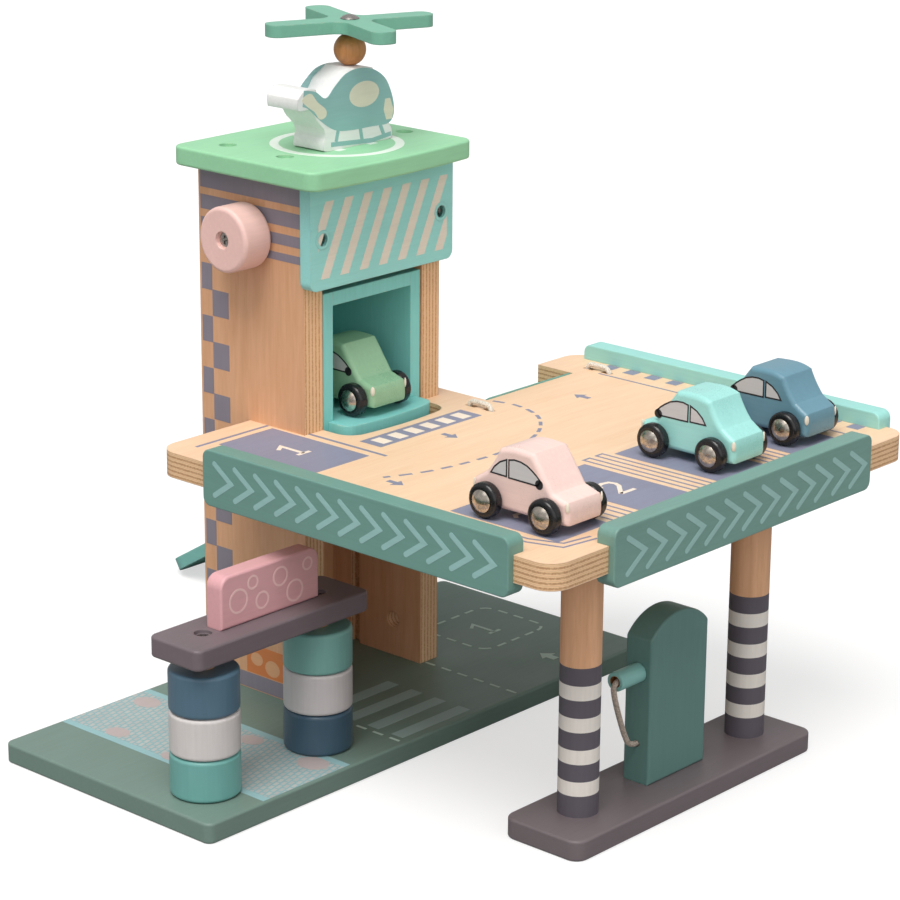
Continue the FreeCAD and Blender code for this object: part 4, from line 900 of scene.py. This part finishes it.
@dataclass
class Studio:
    """The camera at the photograph's angle, the pale floor and the soft lights."""

    spot: Point = (1.158149, -1.21127)
    height: float = 0.68524
    lens: float = 120.76
    sky: float = 0.5
    sun: float = 2.5
    fill: float = 0.75
    panel: float = 1.2
    sun_from: tuple[float, float, float] = (0.105, -0.255, 0.65)
    fill_from: tuple[float, float, float] = (0.85, -0.42, 0.3)
    panel_spot: tuple[float, float, float] = (0.1, -1.3, 1.35)
    panel_aim: tuple[float, float, float] = (0.0, 0.0, 0.2)

    def camera(self) -> None:
        """Place the camera."""
        right = Vector((0.74296522, 0.66929209, 0.00712581))
        up = Vector((-0.20550741, 0.21797108, 0.95407301))
        back = Vector((0.6370003, -0.71030747, 0.29948942))
        data = bpy.data.cameras.new("camera")
        data.lens = self.lens
        data.sensor_width = 36.0
        data.clip_start = 0.05
        data.clip_end = 60.0
        camera = bpy.data.objects.new("camera", data)
        turn = Matrix((right, up, back)).transposed().to_4x4()
        camera.matrix_world = Matrix.Translation((self.spot[0], self.spot[1], self.height)) @ turn
        bpy.context.scene.collection.objects.link(camera)
        bpy.context.scene.camera = camera

    def beam(self, name: str, energy: float, spread: float, way: Sequence[float]) -> bpy.types.Light:
        """Add a soft sun.

        Args:
            name: The light's name.
            energy: Its strength.
            spread: Its apparent width in degrees, which softens its shadows.
            way: The direction that it shines from.

        Returns:
            The light.
        """
        light = bpy.data.lights.new(name, "SUN")
        light.energy = energy
        light.angle = math.radians(spread)
        lamp = bpy.data.objects.new(name, light)
        lamp.matrix_world = Vector(way).to_track_quat("Z", "Y").to_matrix().to_4x4()
        bpy.context.scene.collection.objects.link(lamp)
        return light

    def lights(self) -> None:
        """Add the even sky, the sun overhead, the faint fill from the front and a wide panel for highlights."""
        world = bpy.data.worlds.new("white_room")
        bpy.context.scene.world = world
        world.use_nodes = True
        sky = world.node_tree.nodes["Background"]
        sky.inputs[0].default_value = (1.0, 1.0, 1.0, 1.0)
        sky.inputs[1].default_value = self.sky
        self.beam("window_light", self.sun, 36, self.sun_from).color = (1.0, 0.985, 0.96)
        self.beam("fill_light", self.fill, 70, self.fill_from)
        panel_data = bpy.data.lights.new("panel_light", "AREA")
        panel_data.shape = "RECTANGLE"
        panel_data.size, panel_data.size_y = 0.9, 0.7
        panel_data.energy = self.panel
        panel = bpy.data.objects.new("panel_light", panel_data)
        spot = Vector(self.panel_spot)
        aim = (spot - Vector(self.panel_aim)).to_track_quat("Z", "Y").to_matrix().to_4x4()
        panel.matrix_world = Matrix.Translation(spot) @ aim
        bpy.context.scene.collection.objects.link(panel)

    def floor(self) -> None:
        """Lay the pale floor."""
        mesh = bmesh.new()
        bmesh.ops.create_grid(mesh, x_segments=2, y_segments=2, size=25.0)
        data = bpy.data.meshes.new("studio_floor")
        mesh.to_mesh(data)
        mesh.free()
        coat = Coat("studio_floor")
        recipe = coat.recipe
        cloud = recipe.noise(recipe.place(), 3.0, 2.0)
        pale = recipe.blend(cloud, (0.4, 0.4, 0.4, 1), (0.42, 0.42, 0.42, 1))
        seen = recipe.add("LightPath").outputs["Is Camera Ray"]
        recipe.join(recipe.blend(seen, (0.25, 0.25, 0.25, 1), pale), coat.shader, "Base Color")
        recipe.join(recipe.blend(seen, (0.0, 0.0, 0.0, 1), (0.6, 0.6, 0.6, 1)), coat.shader, "Emission Color")
        coat.plain(Roughness=0.9, Specular_IOR_Level=0.1, Emission_Strength=1.0)
        data.materials.append(coat.material)
        floor = bpy.data.objects.new("studio_floor", data)
        bpy.context.scene.collection.objects.link(floor)

    def build(self) -> None:
        """Set the whole studio."""
        self.camera()
        self.lights()
        self.floor()
        bpy.context.scene.view_settings.view_transform = "Standard"


@dataclass
class LiftTower:
    """The two side panels, back, roof, header, cabin and winder of the lift."""

    left_y: float = 152.0
    top_z: float = 325.0
    header_x: float = 99.0
    roof_z: float = 336.0
    helipad: Point = (64.8, 206.4)
    stripe_pitch: float = 15.75
    stripe_width: float = 6.9
    screw_ys: Point = (159.5, 257.5)
    screw_z: float = 293.0
    band_ink: Ink = Ink("tower_ink", "#8b8490", Grain.ALONG_Z)

    def dress_boards(self) -> None:
        """Give the boards their plywood and paint."""
        wood = dict(light="#e4b28c", dark="#cd966c", edge_light="#f0c9a0", edge_dark="#cf9d70",
                    thick=15.0, axis=1, grain=Grain.ALONG_Z, layers=11.0)
        dress("tower_panel_left", PlyWood("tower_left_ply", low=152.0, **wood))
        dress("tower_panel_right", PlyWood("tower_right_ply", low=250.0, **wood))
        dress("tower_back_panel", PlyWood("tower_back_ply", "#eab98f", "#d39c6f", "#f0c9a0", "#cf9d70",
                                          0, 12.0, 6.0, Grain.ALONG_Z, 5.0))
        dress("tower_roof", Paint("roof_mint", "#98d2a6", Grain.ALONG_Y))
        dress("header_panel", Paint("header_aqua", "#9adad5", Grain.ALONG_Y))

    def dress_lift(self) -> None:
        """Give the cabin, winder and screws their finishes."""
        aqua = Paint("cabin_aqua", "#84cfcb", Grain.ALONG_Z).build()
        for node in ("cabin_floor", "cabin_wall_left", "cabin_wall_right", "cabin_back", "cabin_top",
                     "cabin_guides"):
            dress(node, None, aqua)
        dress("winder_knob", Paint("knob_pink", "#edc4bc", Grain.ALONG_Y))
        dress("winder_shaft", SolidWood("shaft_beech", "#e2b184", "#bd8457", Grain.ALONG_Y))
        steel = Steel("screw_steel").build()
        dress("knob_screw", None, steel)
        dress("countersunk_screws", None, steel)

    def print_left_panel(self) -> None:
        """Print the bands, the two chequered columns and the strip at the foot."""
        ink = Print(Side.LEFT, self.left_y)
        for high, low in ((323.5, 311.0), (306.8, 298.3), (293.7, 287.3), (282.6, 278.0)):
            ink.block((8.6, low), (89.4, high))
        square = 15.6
        for column, (near, far, top) in enumerate(((8.6, 17.2, 266.6), (17.2, 30.5, 251.6))):
            high = top
            while high > 42:
                ink.block((near, high - square), (far, high))
                high -= 2 * square
        ink.block((8.6, 12.6), (89.4, 22.0))
        ink.clip((8.6, 12.6), (89.4, 323.5))
        ink.finish("tower_left_bands", "garage", self.band_ink.build())
        scene = Print(Side.LEFT, self.left_y)
        scene.block((41.7, 22.6), (88.8, 40.5))
        scene.finish("tower_left_glow", "garage", Ink("glow_ink", "#d9824a", Grain.ALONG_X).build())
        blobs = Print(Side.LEFT, self.left_y, 0.14)
        for middle, size in (((50, 32), (5, 4)), ((63, 29), (6, 5)), ((77, 34), (5, 4)), ((84, 28), (3, 3))):
            blobs.disc(middle, size)
        blobs.finish("tower_left_bubbles", "garage", Ink("bubble_ink", "#e3ab80", Grain.ALONG_X).build())

    def print_header(self) -> None:
        """Print the slanting stripes on the header."""
        ink = Print(Side.FRONT, self.header_x)
        slope = 19.8 / 43.6
        for step in range(-2, 8):
            foot = 161.0 + step * self.stripe_pitch - self.stripe_width / 2
            head = foot + slope * 43.9
            ink.panel(((foot, 270.4), (foot + self.stripe_width, 270.4), (head + self.stripe_width, 314.3),
                       (head, 314.3)))
        ink.clip((156.0, 270.4), (262.5, 314.3))
        ink.finish("header_stripes", "garage", Ink("stripe_ink", "#e4dbcc", Grain.ALONG_Y).build())
        clear = Print(Side.FRONT, self.header_x, 0.14)
        for y in self.screw_ys:
            clear.ring((y, self.screw_z), 4.7, 2.2, 40)
        clear.finish("header_screw_margins", "garage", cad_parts["header_panel"].material_slots[0].material)

    def print_roof(self) -> None:
        """Print the landing ring and its three bars."""
        ink = Print(Side.TOP, self.roof_z)
        ink.ring(self.helipad, 36.0, 5.2)
        x, y = self.helipad
        for shift in (-13.0, 13.0):
            ink.block((x - 17, y + shift - 3.2), (x + 17, y + shift + 3.2))
        ink.block((x - 3.2, y - 9.8), (x + 3.2, y + 9.8))
        ink.finish("landing_ring", "garage", Ink("white_ink", "#e4efe4", Grain.ALONG_Y).build())

    def lift_line(self) -> None:
        """Make the taut cord between the winder and the cabin's eye."""
        low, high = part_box("lift_cord")
        middle = (low + high) / 2
        mesh = bmesh.new()
        made = bmesh.ops.create_circle(mesh, segments=16, radius=0.0012)
        bmesh.ops.translate(mesh, verts=made["verts"], vec=(middle.x, middle.y, low.z))
        ring = mesh.edges[:]
        steps = 10
        for _ in range(steps):
            grown = bmesh.ops.extrude_edge_only(mesh, edges=ring)["geom"]
            verts = [item for item in grown if isinstance(item, bmesh.types.BMVert)]
            ring = [item for item in grown if isinstance(item, bmesh.types.BMEdge)]
            bmesh.ops.translate(mesh, verts=verts, vec=(0, 0, (high.z - low.z) / steps))
        bmesh.ops.holes_fill(mesh, edges=mesh.edges[:], sides=0)
        bmesh.ops.recalc_face_normals(mesh, faces=mesh.faces)
        data = bpy.data.meshes.new("lift_line")
        mesh.to_mesh(data)
        mesh.free()
        piece = show("lift_line", data, BraidedCord("lift_line_cotton", "#e9e3d8", "#b7ae9f").build())
        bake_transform(piece)
        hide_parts("lift_cord")
        log.info("piece lift_line between winder and cabin")

    def build(self) -> None:
        """Dress and print the whole tower."""
        self.dress_boards()
        self.dress_lift()
        self.print_left_panel()
        self.print_header()
        self.print_roof()
        self.lift_line()


@dataclass
class ParkingDeck:
    """The deck with its road prints, its three rails, the posts and their foot."""

    top_z: float = 179.0
    rail_left_y: float = 75.0
    rail_front_x: float = 341.5
    bay_rear: float = 241.0
    bay_front: float = 315.0
    bays: tuple[Point, ...] = ((109.0, 151.0), (178.0, 220.0), (246.0, 288.0), (314.0, 356.0))
    line_pairs: tuple[float, ...] = (156.0, 167.5, 225.0, 236.0, 292.8, 303.8)
    pair_gap: float = 5.4
    grey: Ink = Ink("road_ink", "#87899e", Grain.ALONG_Y)
    cream: Ink = Ink("cream_ink", "#f1e0cf", Grain.ALONG_Y)

    def dress_boards(self) -> None:
        """Give the boards their plywood, paint and bands; the front rail's green is a lightened, lit copy of the left
        rail's green.
        """
        dress("deck", PlyWood("deck_ply", "#f1d2b1", "#e7b994", "#efcaa0", "#c99a70", 2, 164.0, 15.0,
                              Grain.ALONG_Y, 11.0, 0.7))
        green = Paint("rail_green", "#6c968c", Grain.ALONG_X).build()
        dress("rail_left", None, green)
        # painted light: the front rail has the left rail's green, lightened as a lit copy to stand for the light
        # falling on its front face
        dress("rail_front", Paint("rail_green_lit_front", "#73998f", Grain.ALONG_Y))
        dress("rail_rear", Paint("rail_aqua", "#9bd6cf", Grain.ALONG_X))
        dress("post_foot", Paint("foot_grey", "#71676a", Grain.ALONG_Y, wear=0.2))
        dress("deck_posts", BandedPost("banded_posts"))

    def arrow(self, ink: Print, middle: Point, heading: int) -> None:
        """Lay down a small road arrow.

        Args:
            ink: The print that it belongs to.
            middle: Its middle on the deck.
            heading: 1 where it points to +X, -1 where it points to -X.
        """
        x, y = middle
        ink.panel([(x + heading * u, y + v) for u, v in
                   ((-5.5, -1.7), (0.2, -1.7), (0.2, -4.6), (6.0, 0), (0.2, 4.6), (0.2, 1.7), (-5.5, 1.7))])

    def print_bays(self) -> None:
        """Print the parking bays, their lines and their numbers."""
        ink = Print(Side.TOP, self.top_z)
        ink.block((67.6, 107.0), (144.0, 149.5))
        for low, high in self.bays:
            ink.block((self.bay_rear, low), (self.bay_front, high))
        ink.stroke(((62.0, 95.0), (62.0, 151.5)), 2.2)
        ink.stroke(((87.0, 155.8), (151.0, 155.8)), 2.2)
        for y in self.line_pairs:
            ink.stroke(((317.0, y), (236.0, y), (236.0, y + self.pair_gap), (317.0, y + self.pair_gap)), 1.5)
        ink.stroke(((241.0, 103.0), (300.0, 103.0), (318.0, 110.0), (321.0, 128.0)), 1.6)
        ink.stroke(((241.0, 98.5), (302.5, 98.5), (322.0, 105.0), (325.5, 128.0)), 1.6)
        ink.finish("bay_fills", "garage", self.grey.build())
        marks = Print(Side.TOP, self.top_z, 0.16)
        self.numeral(marks, "1", (105.0, 128.0))
        self.numeral(marks, "2", (279.5, 199.0))
        self.numeral(marks, "3", (279.5, 130.0))
        marks.finish("bay_numbers", "garage", self.cream.build())

    def numeral(self, ink: Print, digit: str, middle: Point) -> None:
        """Lay down a plain bay number whose head points to -X.

        Args:
            ink: The print that it belongs to.
            digit: 1, 2 or 3.
            middle: The number's middle.
        """
        shapes = {
            "1": [((-5, 6), (-9, 0), (9, 0)), ((9, -5), (9, 5))],
            "2": [((-4.5, 6), (-8, 4.5), (-9.2, 0), (-8, -4.5), (-4.2, -5.6), (-0.5, -4), (9, 6)),
                  ((9, 6), (9, -6))],
            "3": [((-5.5, 6), (-9, 3), (-9, -3), (-5.5, -5.6), (-1.4, -3.4), (-0.6, 0)),
                  ((-0.6, 0), (0.4, -4), (4.5, -6), (9, -3), (9, 3), (5.5, 6))],
        }
        for line in shapes[digit]:
            ink.stroke([(middle[0] + u, middle[1] - v) for u, v in line], 2.6)

    def print_road(self) -> None:
        """Print the crossing, the arrows, the broken turning line and the chequered strip."""
        ink = Print(Side.TOP, self.top_z)
        ink.block((121.3, 165.5), (137.8, 251.0))
        self.arrow(ink, (187.5, 124.0), 1)
        self.arrow(ink, (151.0, 208.5), 1)
        self.arrow(ink, (155.5, 321.0), -1)
        curve = swept([(123.1, 277.6), (138.0, 280.3), (154.6, 276.3), (168.4, 267.2), (183.0, 248.4),
                       (191.8, 222.4), (192.6, 187.4), (187.1, 152.4), (176.0, 126.0)])
        ink.dashes(curve, 2.2, 8.0, 5.0)
        square = 8.25
        x = 124.0
        while x + square < 322.0:
            ink.block((x, 377.5), (x + square, 385.6))
            x += 2 * square
        ink.stroke(((131.0, 366.4), (322.0, 366.4)), 1.4)
        ink.finish("road_prints", "garage", self.grey.build())
        bars = Print(Side.TOP, self.top_z, 0.16)
        for step in range(6):
            y = 171.0 + step * 13.4
            bars.block((124.3, y), (134.8, y + 7.6))
        bars.finish("crossing_bars", "garage", self.cream.build())

    def print_rails(self) -> None:
        """Print the chevrons on the two green rails."""
        ink = Print(Side.LEFT, self.rail_left_y)
        for i in range(13):
            x = 97.6 + i * 15.9
            ink.stroke(((x, 181.4), (x + 12.8, 172.4), (x, 163.4)), 3.1, rounded=True)
        ink.clip((88.0, 157.0), (310.0, 188.0))
        ink.finish("rail_left_chevrons", "garage", Ink("chevron_ink", "#95bebb", Grain.ALONG_X).build())
        other = Print(Side.FRONT, self.rail_front_x)
        for i in range(13):
            y = 133.4 + i * 16.5
            other.stroke(((y, 181.4), (y + 14.0, 171.9), (y, 162.0)), 3.1, rounded=True)
        other.clip((123.5, 157.0), (350.5, 188.0))
        other.finish("rail_front_chevrons", "garage", Ink("chevron_front_ink", "#96bcb8", Grain.ALONG_Y).build())

    def build(self) -> None:
        """Dress and print the whole deck."""
        self.dress_boards()
        self.print_bays()
        self.print_road()
        self.print_rails()


@dataclass
class BaseBoard:
    """The base board with its wash mat, bay and crossing prints."""

    top_z: float = 12.0
    mat_low: float = 42.0
    mat_high: float = 110.0

    def print_mat(self) -> None:
        """Print the mat's border, its tiles and its soap bubbles."""
        border = Print(Side.TOP, self.top_z)
        border.block((1.6, self.mat_low), (166.4, self.mat_high))
        border.finish("mat_border", "garage", Ink("mat_blue", "#8fb6ba", Grain.ALONG_Y).build())
        tiles = Print(Side.TOP, self.top_z, 0.15)
        tiles.block((1.7, self.mat_low + 5.0), (166.3, self.mat_high - 5.0))
        tiles.finish("mat_tiles", "garage", WashMat("mat_tiles_ink").build())
        foam = Print(Side.TOP, self.top_z, 0.2)
        for middle, size in (((16, 95), (9, 7)), ((37, 53), (8, 6)), ((85, 50), (7, 5)), ((101, 97), (8, 6)),
                             ((150, 97), (10, 8)), ((62, 88), (5, 4)), ((118, 60), (6, 5))):
            foam.disc(middle, size)
        foam.finish("mat_bubbles", "garage", Ink("bubble_grey", "#b3a7a5", Grain.ALONG_Y).build())

    def print_ground(self) -> None:
        """Print the broken bay, the lines, the arrow and the pale crossing."""
        ink = Print(Side.TOP, self.top_z)
        bay = (arc((96, 342), (10, 10), 0, 90) + arc((63, 342), (10, 10), 90, 180)
               + arc((63, 303), (10, 10), 180, 270) + arc((96, 303), (10, 10), 270, 360))
        ink.dashes(bay + bay[:1], 1.8, 8.0, 5.0)
        ink.dashes(((92, 254), (166, 254)), 1.8, 8.0, 5.0)
        ink.dashes(((130, 153.5), (166, 153.5)), 1.8, 8.0, 5.0)
        ink.panel(((146, 310.5), (140, 310.5), (140, 307), (133, 313), (140, 319), (140, 315.5), (146, 315.5)))
        ink.stroke([(79 + u, 322 - v) for u, v in ((-5, 6), (-9, 0), (9, 0))], 2.2)
        ink.stroke(((88, 317), (88, 327)), 2.2)
        ink.finish("ground_lines", "garage", Ink("ground_white", "#b9cfc4", Grain.ALONG_Y).build())
        bars = Print(Side.TOP, self.top_z)
        for step in range(4):
            x = 96.0 + step * 19.0
            bars.panel(((x, 158.0), (x + 9, 158.0), (x + 9, 216.0), (x, 216.0)))
        bars.clip((93.0, 158.0), (164.0, 216.0))
        bars.finish("ground_crossing", "garage", Ink("ground_blue", "#93aaa8", Grain.ALONG_Y).build())

    def build(self) -> None:
        """Dress and print the base board."""
        dress("base_board", Paint("base_green", "#6f867d", Grain.ALONG_Y))
        self.print_mat()
        self.print_ground()


@dataclass
class CarWash:
    """The two columns of loose rings, the beam and the pink sign."""

    sign_x: float = 139.0
    ring_colours: tuple[tuple[str, str], ...] = (
        ("left_1", "#6ea7a1"), ("left_2", "#d0cac8"), ("left_3", "#506c7e"),
        ("right_1", "#3d5566"), ("right_2", "#c6c0c0"), ("right_3", "#76a7a0"))

    def build(self) -> None:
        """Dress the rings, the beam, the dowels and the sign."""
        for name, colour in self.ring_colours:
            dress("wash_ring_" + name, Paint("ring_" + name, colour, Grain.ALONG_Z, 0.34, 0.2))
        dress("wash_beam", Paint("beam_grey", "#71656a", Grain.ALONG_Y, wear=0.2))
        dress("wash_dowels", SolidWood("dowel_beech", "#ecc197", "#c9925f", Grain.ALONG_Z))
        dress("wash_sign", Paint("sign_pink", "#dca6aa", Grain.ALONG_Y))
        bubbles = Print(Side.FRONT, self.sign_x)
        for middle, radius in (((52, 118), 6.5), ((63, 126), 3.6), ((70, 114), 4.6), ((84, 124), 5.2),
                               ((95, 113), 6.0), ((105, 126), 3.4)):
            bubbles.ring(middle, radius, 1.2, 28)
        bubbles.finish("sign_bubbles", "garage", Ink("sign_pale", "#ecc4c2", Grain.ALONG_Y).build())


@dataclass
class FuelPump:
    """The pump with its nozzle and its slack cord."""

    diameter: float = 3.2
    length: float = 0.0583
    steps: int = 12
    route: tuple[tuple[float, float, float], ...] = (
        (298.0, 183.9, 77.0), (298.9, 177.2, 76.6), (299.6, 177.7, 69.8), (299.1, 180.9, 61.4),
        (298.4, 185.3, 51.8), (298.1, 189.2, 43.2), (298.0, 194.0, 35.0), (298.0, 203.0, 35.0))

    def cord(self) -> None:
        """Make the slack cord between the nozzle and the pump's side."""
        pulls = [at(*place) for place in self.route]
        path = [tuple(vertex.co) for vertex in bent(pulls, 0.0, self.steps).vertices]
        tube = bent(pulls, self.diameter * 0.0005, self.steps)
        piece = show("pump_cord", tube, BraidedCord("pump_cotton", "#cdbcae", "#8f8173").build())
        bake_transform(piece)
        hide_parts("pump_hose")
        log.info("piece pump_cord, %d path points", len(path))

    def build(self) -> None:
        """Dress the pump and hang its cord."""
        dress("pump_body", Paint("pump_green", "#618680", Grain.ALONG_Z))
        dress("pump_nozzle", NozzlePaint("nozzle_teal", "#89bfb9", "#a9713f", 298.0, 77.0, 3.4))
        self.cord()


@dataclass
class Ramp:
    """The ramp board with its batten, its pin and the two cord loops that hold it."""

    loop_ys: Point = (262.0, 371.0)
    loop_wire: float = 1.5
    steps: int = 10

    def loops(self) -> None:
        """Make the two knotted cord loops that the ramp's pin hangs in."""
        low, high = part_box("ramp_cord_loops")
        rim = self.loop_wire * 0.001
        cotton = BraidedCord("loop_cotton", "#efe9df", "#c4baab").build()
        corners = ((low.x + rim, low.z + rim), (low.x + rim, high.z - rim),
                   (high.x - rim, high.z - rim), (high.x - rim, low.z + rim))
        route: list[Point] = []
        for (x, z), (next_x, next_z) in zip(corners, corners[1:] + corners[:1]):
            route += [(x, z), (x + (next_x - x) * 0.5, z + (next_z - z) * 0.5)]
        for number, y in enumerate(self.loop_ys, 1):
            middle = at(0, y, 0).y
            tube = bent([Vector((x, middle, z)) for x, z in route], rim, self.steps, True)
            piece = show(f"ramp_loop_{number}", tube, cotton)
            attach(piece, "garage")
            if number == 1:
                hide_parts("ramp_cord_loops")
            log.info("piece ramp_loop_%d", number)

    def build(self) -> None:
        """Dress the ramp."""
        dress("ramp_board", Paint("ramp_teal", "#7fbfb6", Grain.ALONG_X))
        dress("ramp_batten", SolidWood("batten_beech", "#ecc197", "#c9925f", Grain.ALONG_Y))
        dress("ramp_pin", SolidWood("pin_beech", "#ecc197", "#c9925f", Grain.ALONG_Y))
        self.loops()


@dataclass
class Helicopter:
    """The white helicopter with its print, ball, washer and rotor."""

    side_x: float = 78.0
    far_x: float = 54.0

    def outline(self, side: Side, level: float, label: str) -> None:
        """Print the cabin, windows and skids on one side.

        Args:
            side: The side that it lies on.
            level: That side's place.
            label: A word that tells the two sides apart.
        """
        def spot(u: float, v: float) -> Point:
            """Turn a place on the sketch into a place across and up."""
            y = 186.9 + (u - 329.7) / 1.217
            return (y, 336 + (151.5 - 0.265 * (y - 186.9) - v) / 1.743)

        teal = Print(side, level)
        teal.panel(swept([spot(*p) for p in (
            (305, 92), (316, 93), (326, 99), (335, 87), (346, 74), (360, 68), (374, 69), (385, 77), (391, 90),
            (394, 104), (393, 116), (387, 123), (372, 126), (352, 130), (338, 131), (328, 127), (317, 118),
            (309, 110), (303, 108))])[:-1])
        tone = Ink("heli_teal_" + label, "#90bab9", Grain.ALONG_Y).build()
        teal.finish("heli_print_" + label, "helicopter", tone)
        struts = Print(side, level, 0.06)
        for line in (((338, 131), (336, 142)), ((360, 128), (362, 141)), ((380, 124), (384, 135))):
            struts.stroke([spot(*p) for p in line], 2.6)
        struts.finish("heli_struts_" + label, "helicopter", tone)
        skid = Print(side, level, 0.13)
        skid.stroke([spot(*p) for p in ((331, 145), (372, 140), (391, 133))], 2.6)
        skid.finish("heli_skid_" + label, "helicopter", tone)
        cream = Print(side, level, 0.16)
        centre = spot(364, 93.7)
        cream.disc(centre, (12.2, 7.4))
        cream.panel([spot(*p) for p in ((385, 98), (390, 97), (393.5, 108), (392, 118), (386, 119), (383.5, 109))])
        bone = [spot(*p) for p in ((306, 97), (312, 95), (318, 103), (326, 110), (326, 117), (320, 120),
                                   (315, 113), (307, 107), (303, 102))]
        cream.panel(swept(bone + bone[:1], 4)[:-1])
        cream.finish("heli_windows_" + label, "helicopter",
                     Ink("heli_cream_" + label, "#e3ddc8", Grain.ALONG_Y).build())

    def build(self) -> None:
        """Dress the helicopter."""
        dress("heli_body", Paint("heli_white", "#eceaea", Grain.ALONG_Y, 0.34, 0.15))
        dress("heli_ball", SolidWood("ball_beech", "#d8955c", "#a9703b", Grain.ALONG_Z, 0.9, 0.36))
        dress("heli_washer", TyreRubber("washer_black"))
        dress("heli_rotor", Paint("rotor_green", "#79b49d", Grain.ALONG_X))
        dress("heli_pin", Steel("heli_pin_steel"))
        self.outline(Side.FRONT, self.side_x, "near")
        self.outline(Side.REAR, self.far_x, "far")


@dataclass
class ToyCar:
    """One little car: painted body, black tyres, steel caps and printed windows."""

    name: str
    colour: str
    tail_x: float
    middle_y: float
    ground_z: float
    heading: int
    print_shift: float = 0.0
    half_width: float = 14.5
    glass: str = "#c9c6c6"
    outline: str = "#26262a"
    line: float = 0.9
    mirror: Point = (45.6, 24.2)
    mirror_radius: float = 2.6
    front_lamp: float = 64.2
    rear_lamp: float = 0.8
    lamp_height: float = 15.6
    lamp_inset: float = 0.8
    lamp_size: tuple[float, float, float] = (0.7, 1.3, 2.8)
    rear_window: tuple[Point, ...] = ((12.7, 24.1), (15.0, 27.6), (18.8, 30.9), (23.4, 33.0), (23.4, 23.9))
    front_window: tuple[Point, ...] = ((25.0, 33.2), (28.6, 34.0), (33.0, 33.8), (37.4, 32.6), (41.2, 30.4),
                                       (44.0, 28.4), (46.4, 26.2), (44.6, 23.4), (25.0, 23.6))

    def spot(self, along: float, height: float) -> Point:
        """Turn a place on the car's side into a place across and up."""
        return (self.tail_x + self.heading * along, self.ground_z + 0.3 + height)

    def print_side(self, side: Side, level: float, label: str) -> None:
        """Print the windows and the mirror on one side.

        Args:
            side: The side that it lies on.
            level: That side's place.
            label: A word that tells the two sides apart.
        """
        glass = Print(side, level, 0.08)
        ink = Print(side, level, 0.12)
        for window in (self.rear_window, self.front_window):
            spots = [self.spot(along + self.print_shift, height) for along, height in window]
            glass.panel(spots)
            ink.stroke(spots, self.line, closed=True)
        along, height = self.mirror
        ink.disc(self.spot(along + self.print_shift, height), (self.mirror_radius, self.mirror_radius))
        tone = Ink(f"{self.name}_glass_ink_{label}", self.glass).build()
        glass.finish(f"{self.name}_glass_{label}", self.name, tone)
        tone = Ink(f"{self.name}_line_ink_{label}", self.outline).build()
        ink.finish(f"{self.name}_lines_{label}", self.name, tone)

    def lamps(self) -> None:
        """Set a cream lamp into each of the body's four upright corners."""
        mesh = bmesh.new()
        size = Matrix.Diagonal((*(part * 0.001 for part in self.lamp_size), 1.0))
        for along, outward in ((self.front_lamp, 1), (self.rear_lamp, -1)):
            for side in (-1, 1):
                x, z = self.spot(along, self.lamp_height)
                middle = at(x, self.middle_y + side * (self.half_width - self.lamp_inset), z)
                turn = Matrix.Rotation(math.atan2(side, outward * self.heading), 4, "Z")
                place = Matrix.Translation(middle) @ turn @ size
                bmesh.ops.create_icosphere(mesh, subdivisions=3, radius=1.0, matrix=place)
        settle(self.name + "_lamps", mesh, self.name, Ink(self.name + "_lamp_cream", "#e6dccb").build(), True)

    def build(self) -> None:
        """Dress the car and print both its sides."""
        dress(self.name + "_body", Paint(self.name + "_paint", self.colour, Grain.ALONG_X, 0.3, 0.15))
        rubber = TyreRubber(self.name + "_rubber").build()
        dress(self.name + "_front_tyres", None, rubber)
        dress(self.name + "_rear_tyres", None, rubber)
        dress(self.name + "_wheel_pins", Steel(self.name + "_cap_steel", "#cfc4b6"))
        self.print_side(Side.LEFT, self.middle_y - self.half_width, "left")
        self.print_side(Side.RIGHT, self.middle_y + self.half_width, "right")
        self.lamps()


@dataclass
class Garage:
    """The whole toy, in the order in which it is dressed."""

    cars: list[ToyCar] = field(default_factory=lambda: [
        ToyCar("car_pink", "#efd0c8", 249.5, 131.5, 179.0, 1),
        ToyCar("car_aqua", "#9fdbd5", 313.0, 274.5, 179.0, -1, 7.1),
        ToyCar("car_blue", "#6891a2", 313.0, 342.5, 179.0, -1, 5.8),
        ToyCar("car_green", "#94be9a", 39.5, 208.5, 182.5, 1)])

    def build(self) -> None:
        """Dress every sub-assembly."""
        parts: Iterable[object] = (BaseBoard(), LiftTower(), ParkingDeck(), CarWash(), FuelPump(), Ramp(),
                                   Helicopter(), *self.cars)
        for part in parts:
            part.build()
            log.info("built %s", type(part).__name__)


def main() -> None:
    """Set the studio and dress the toy."""
    logging.basicConfig(level=logging.INFO, format="%(message)s")
    Studio().build()
    Garage().build()
    bpy.context.view_layer.update()


if __name__ == "__main__":
    main()
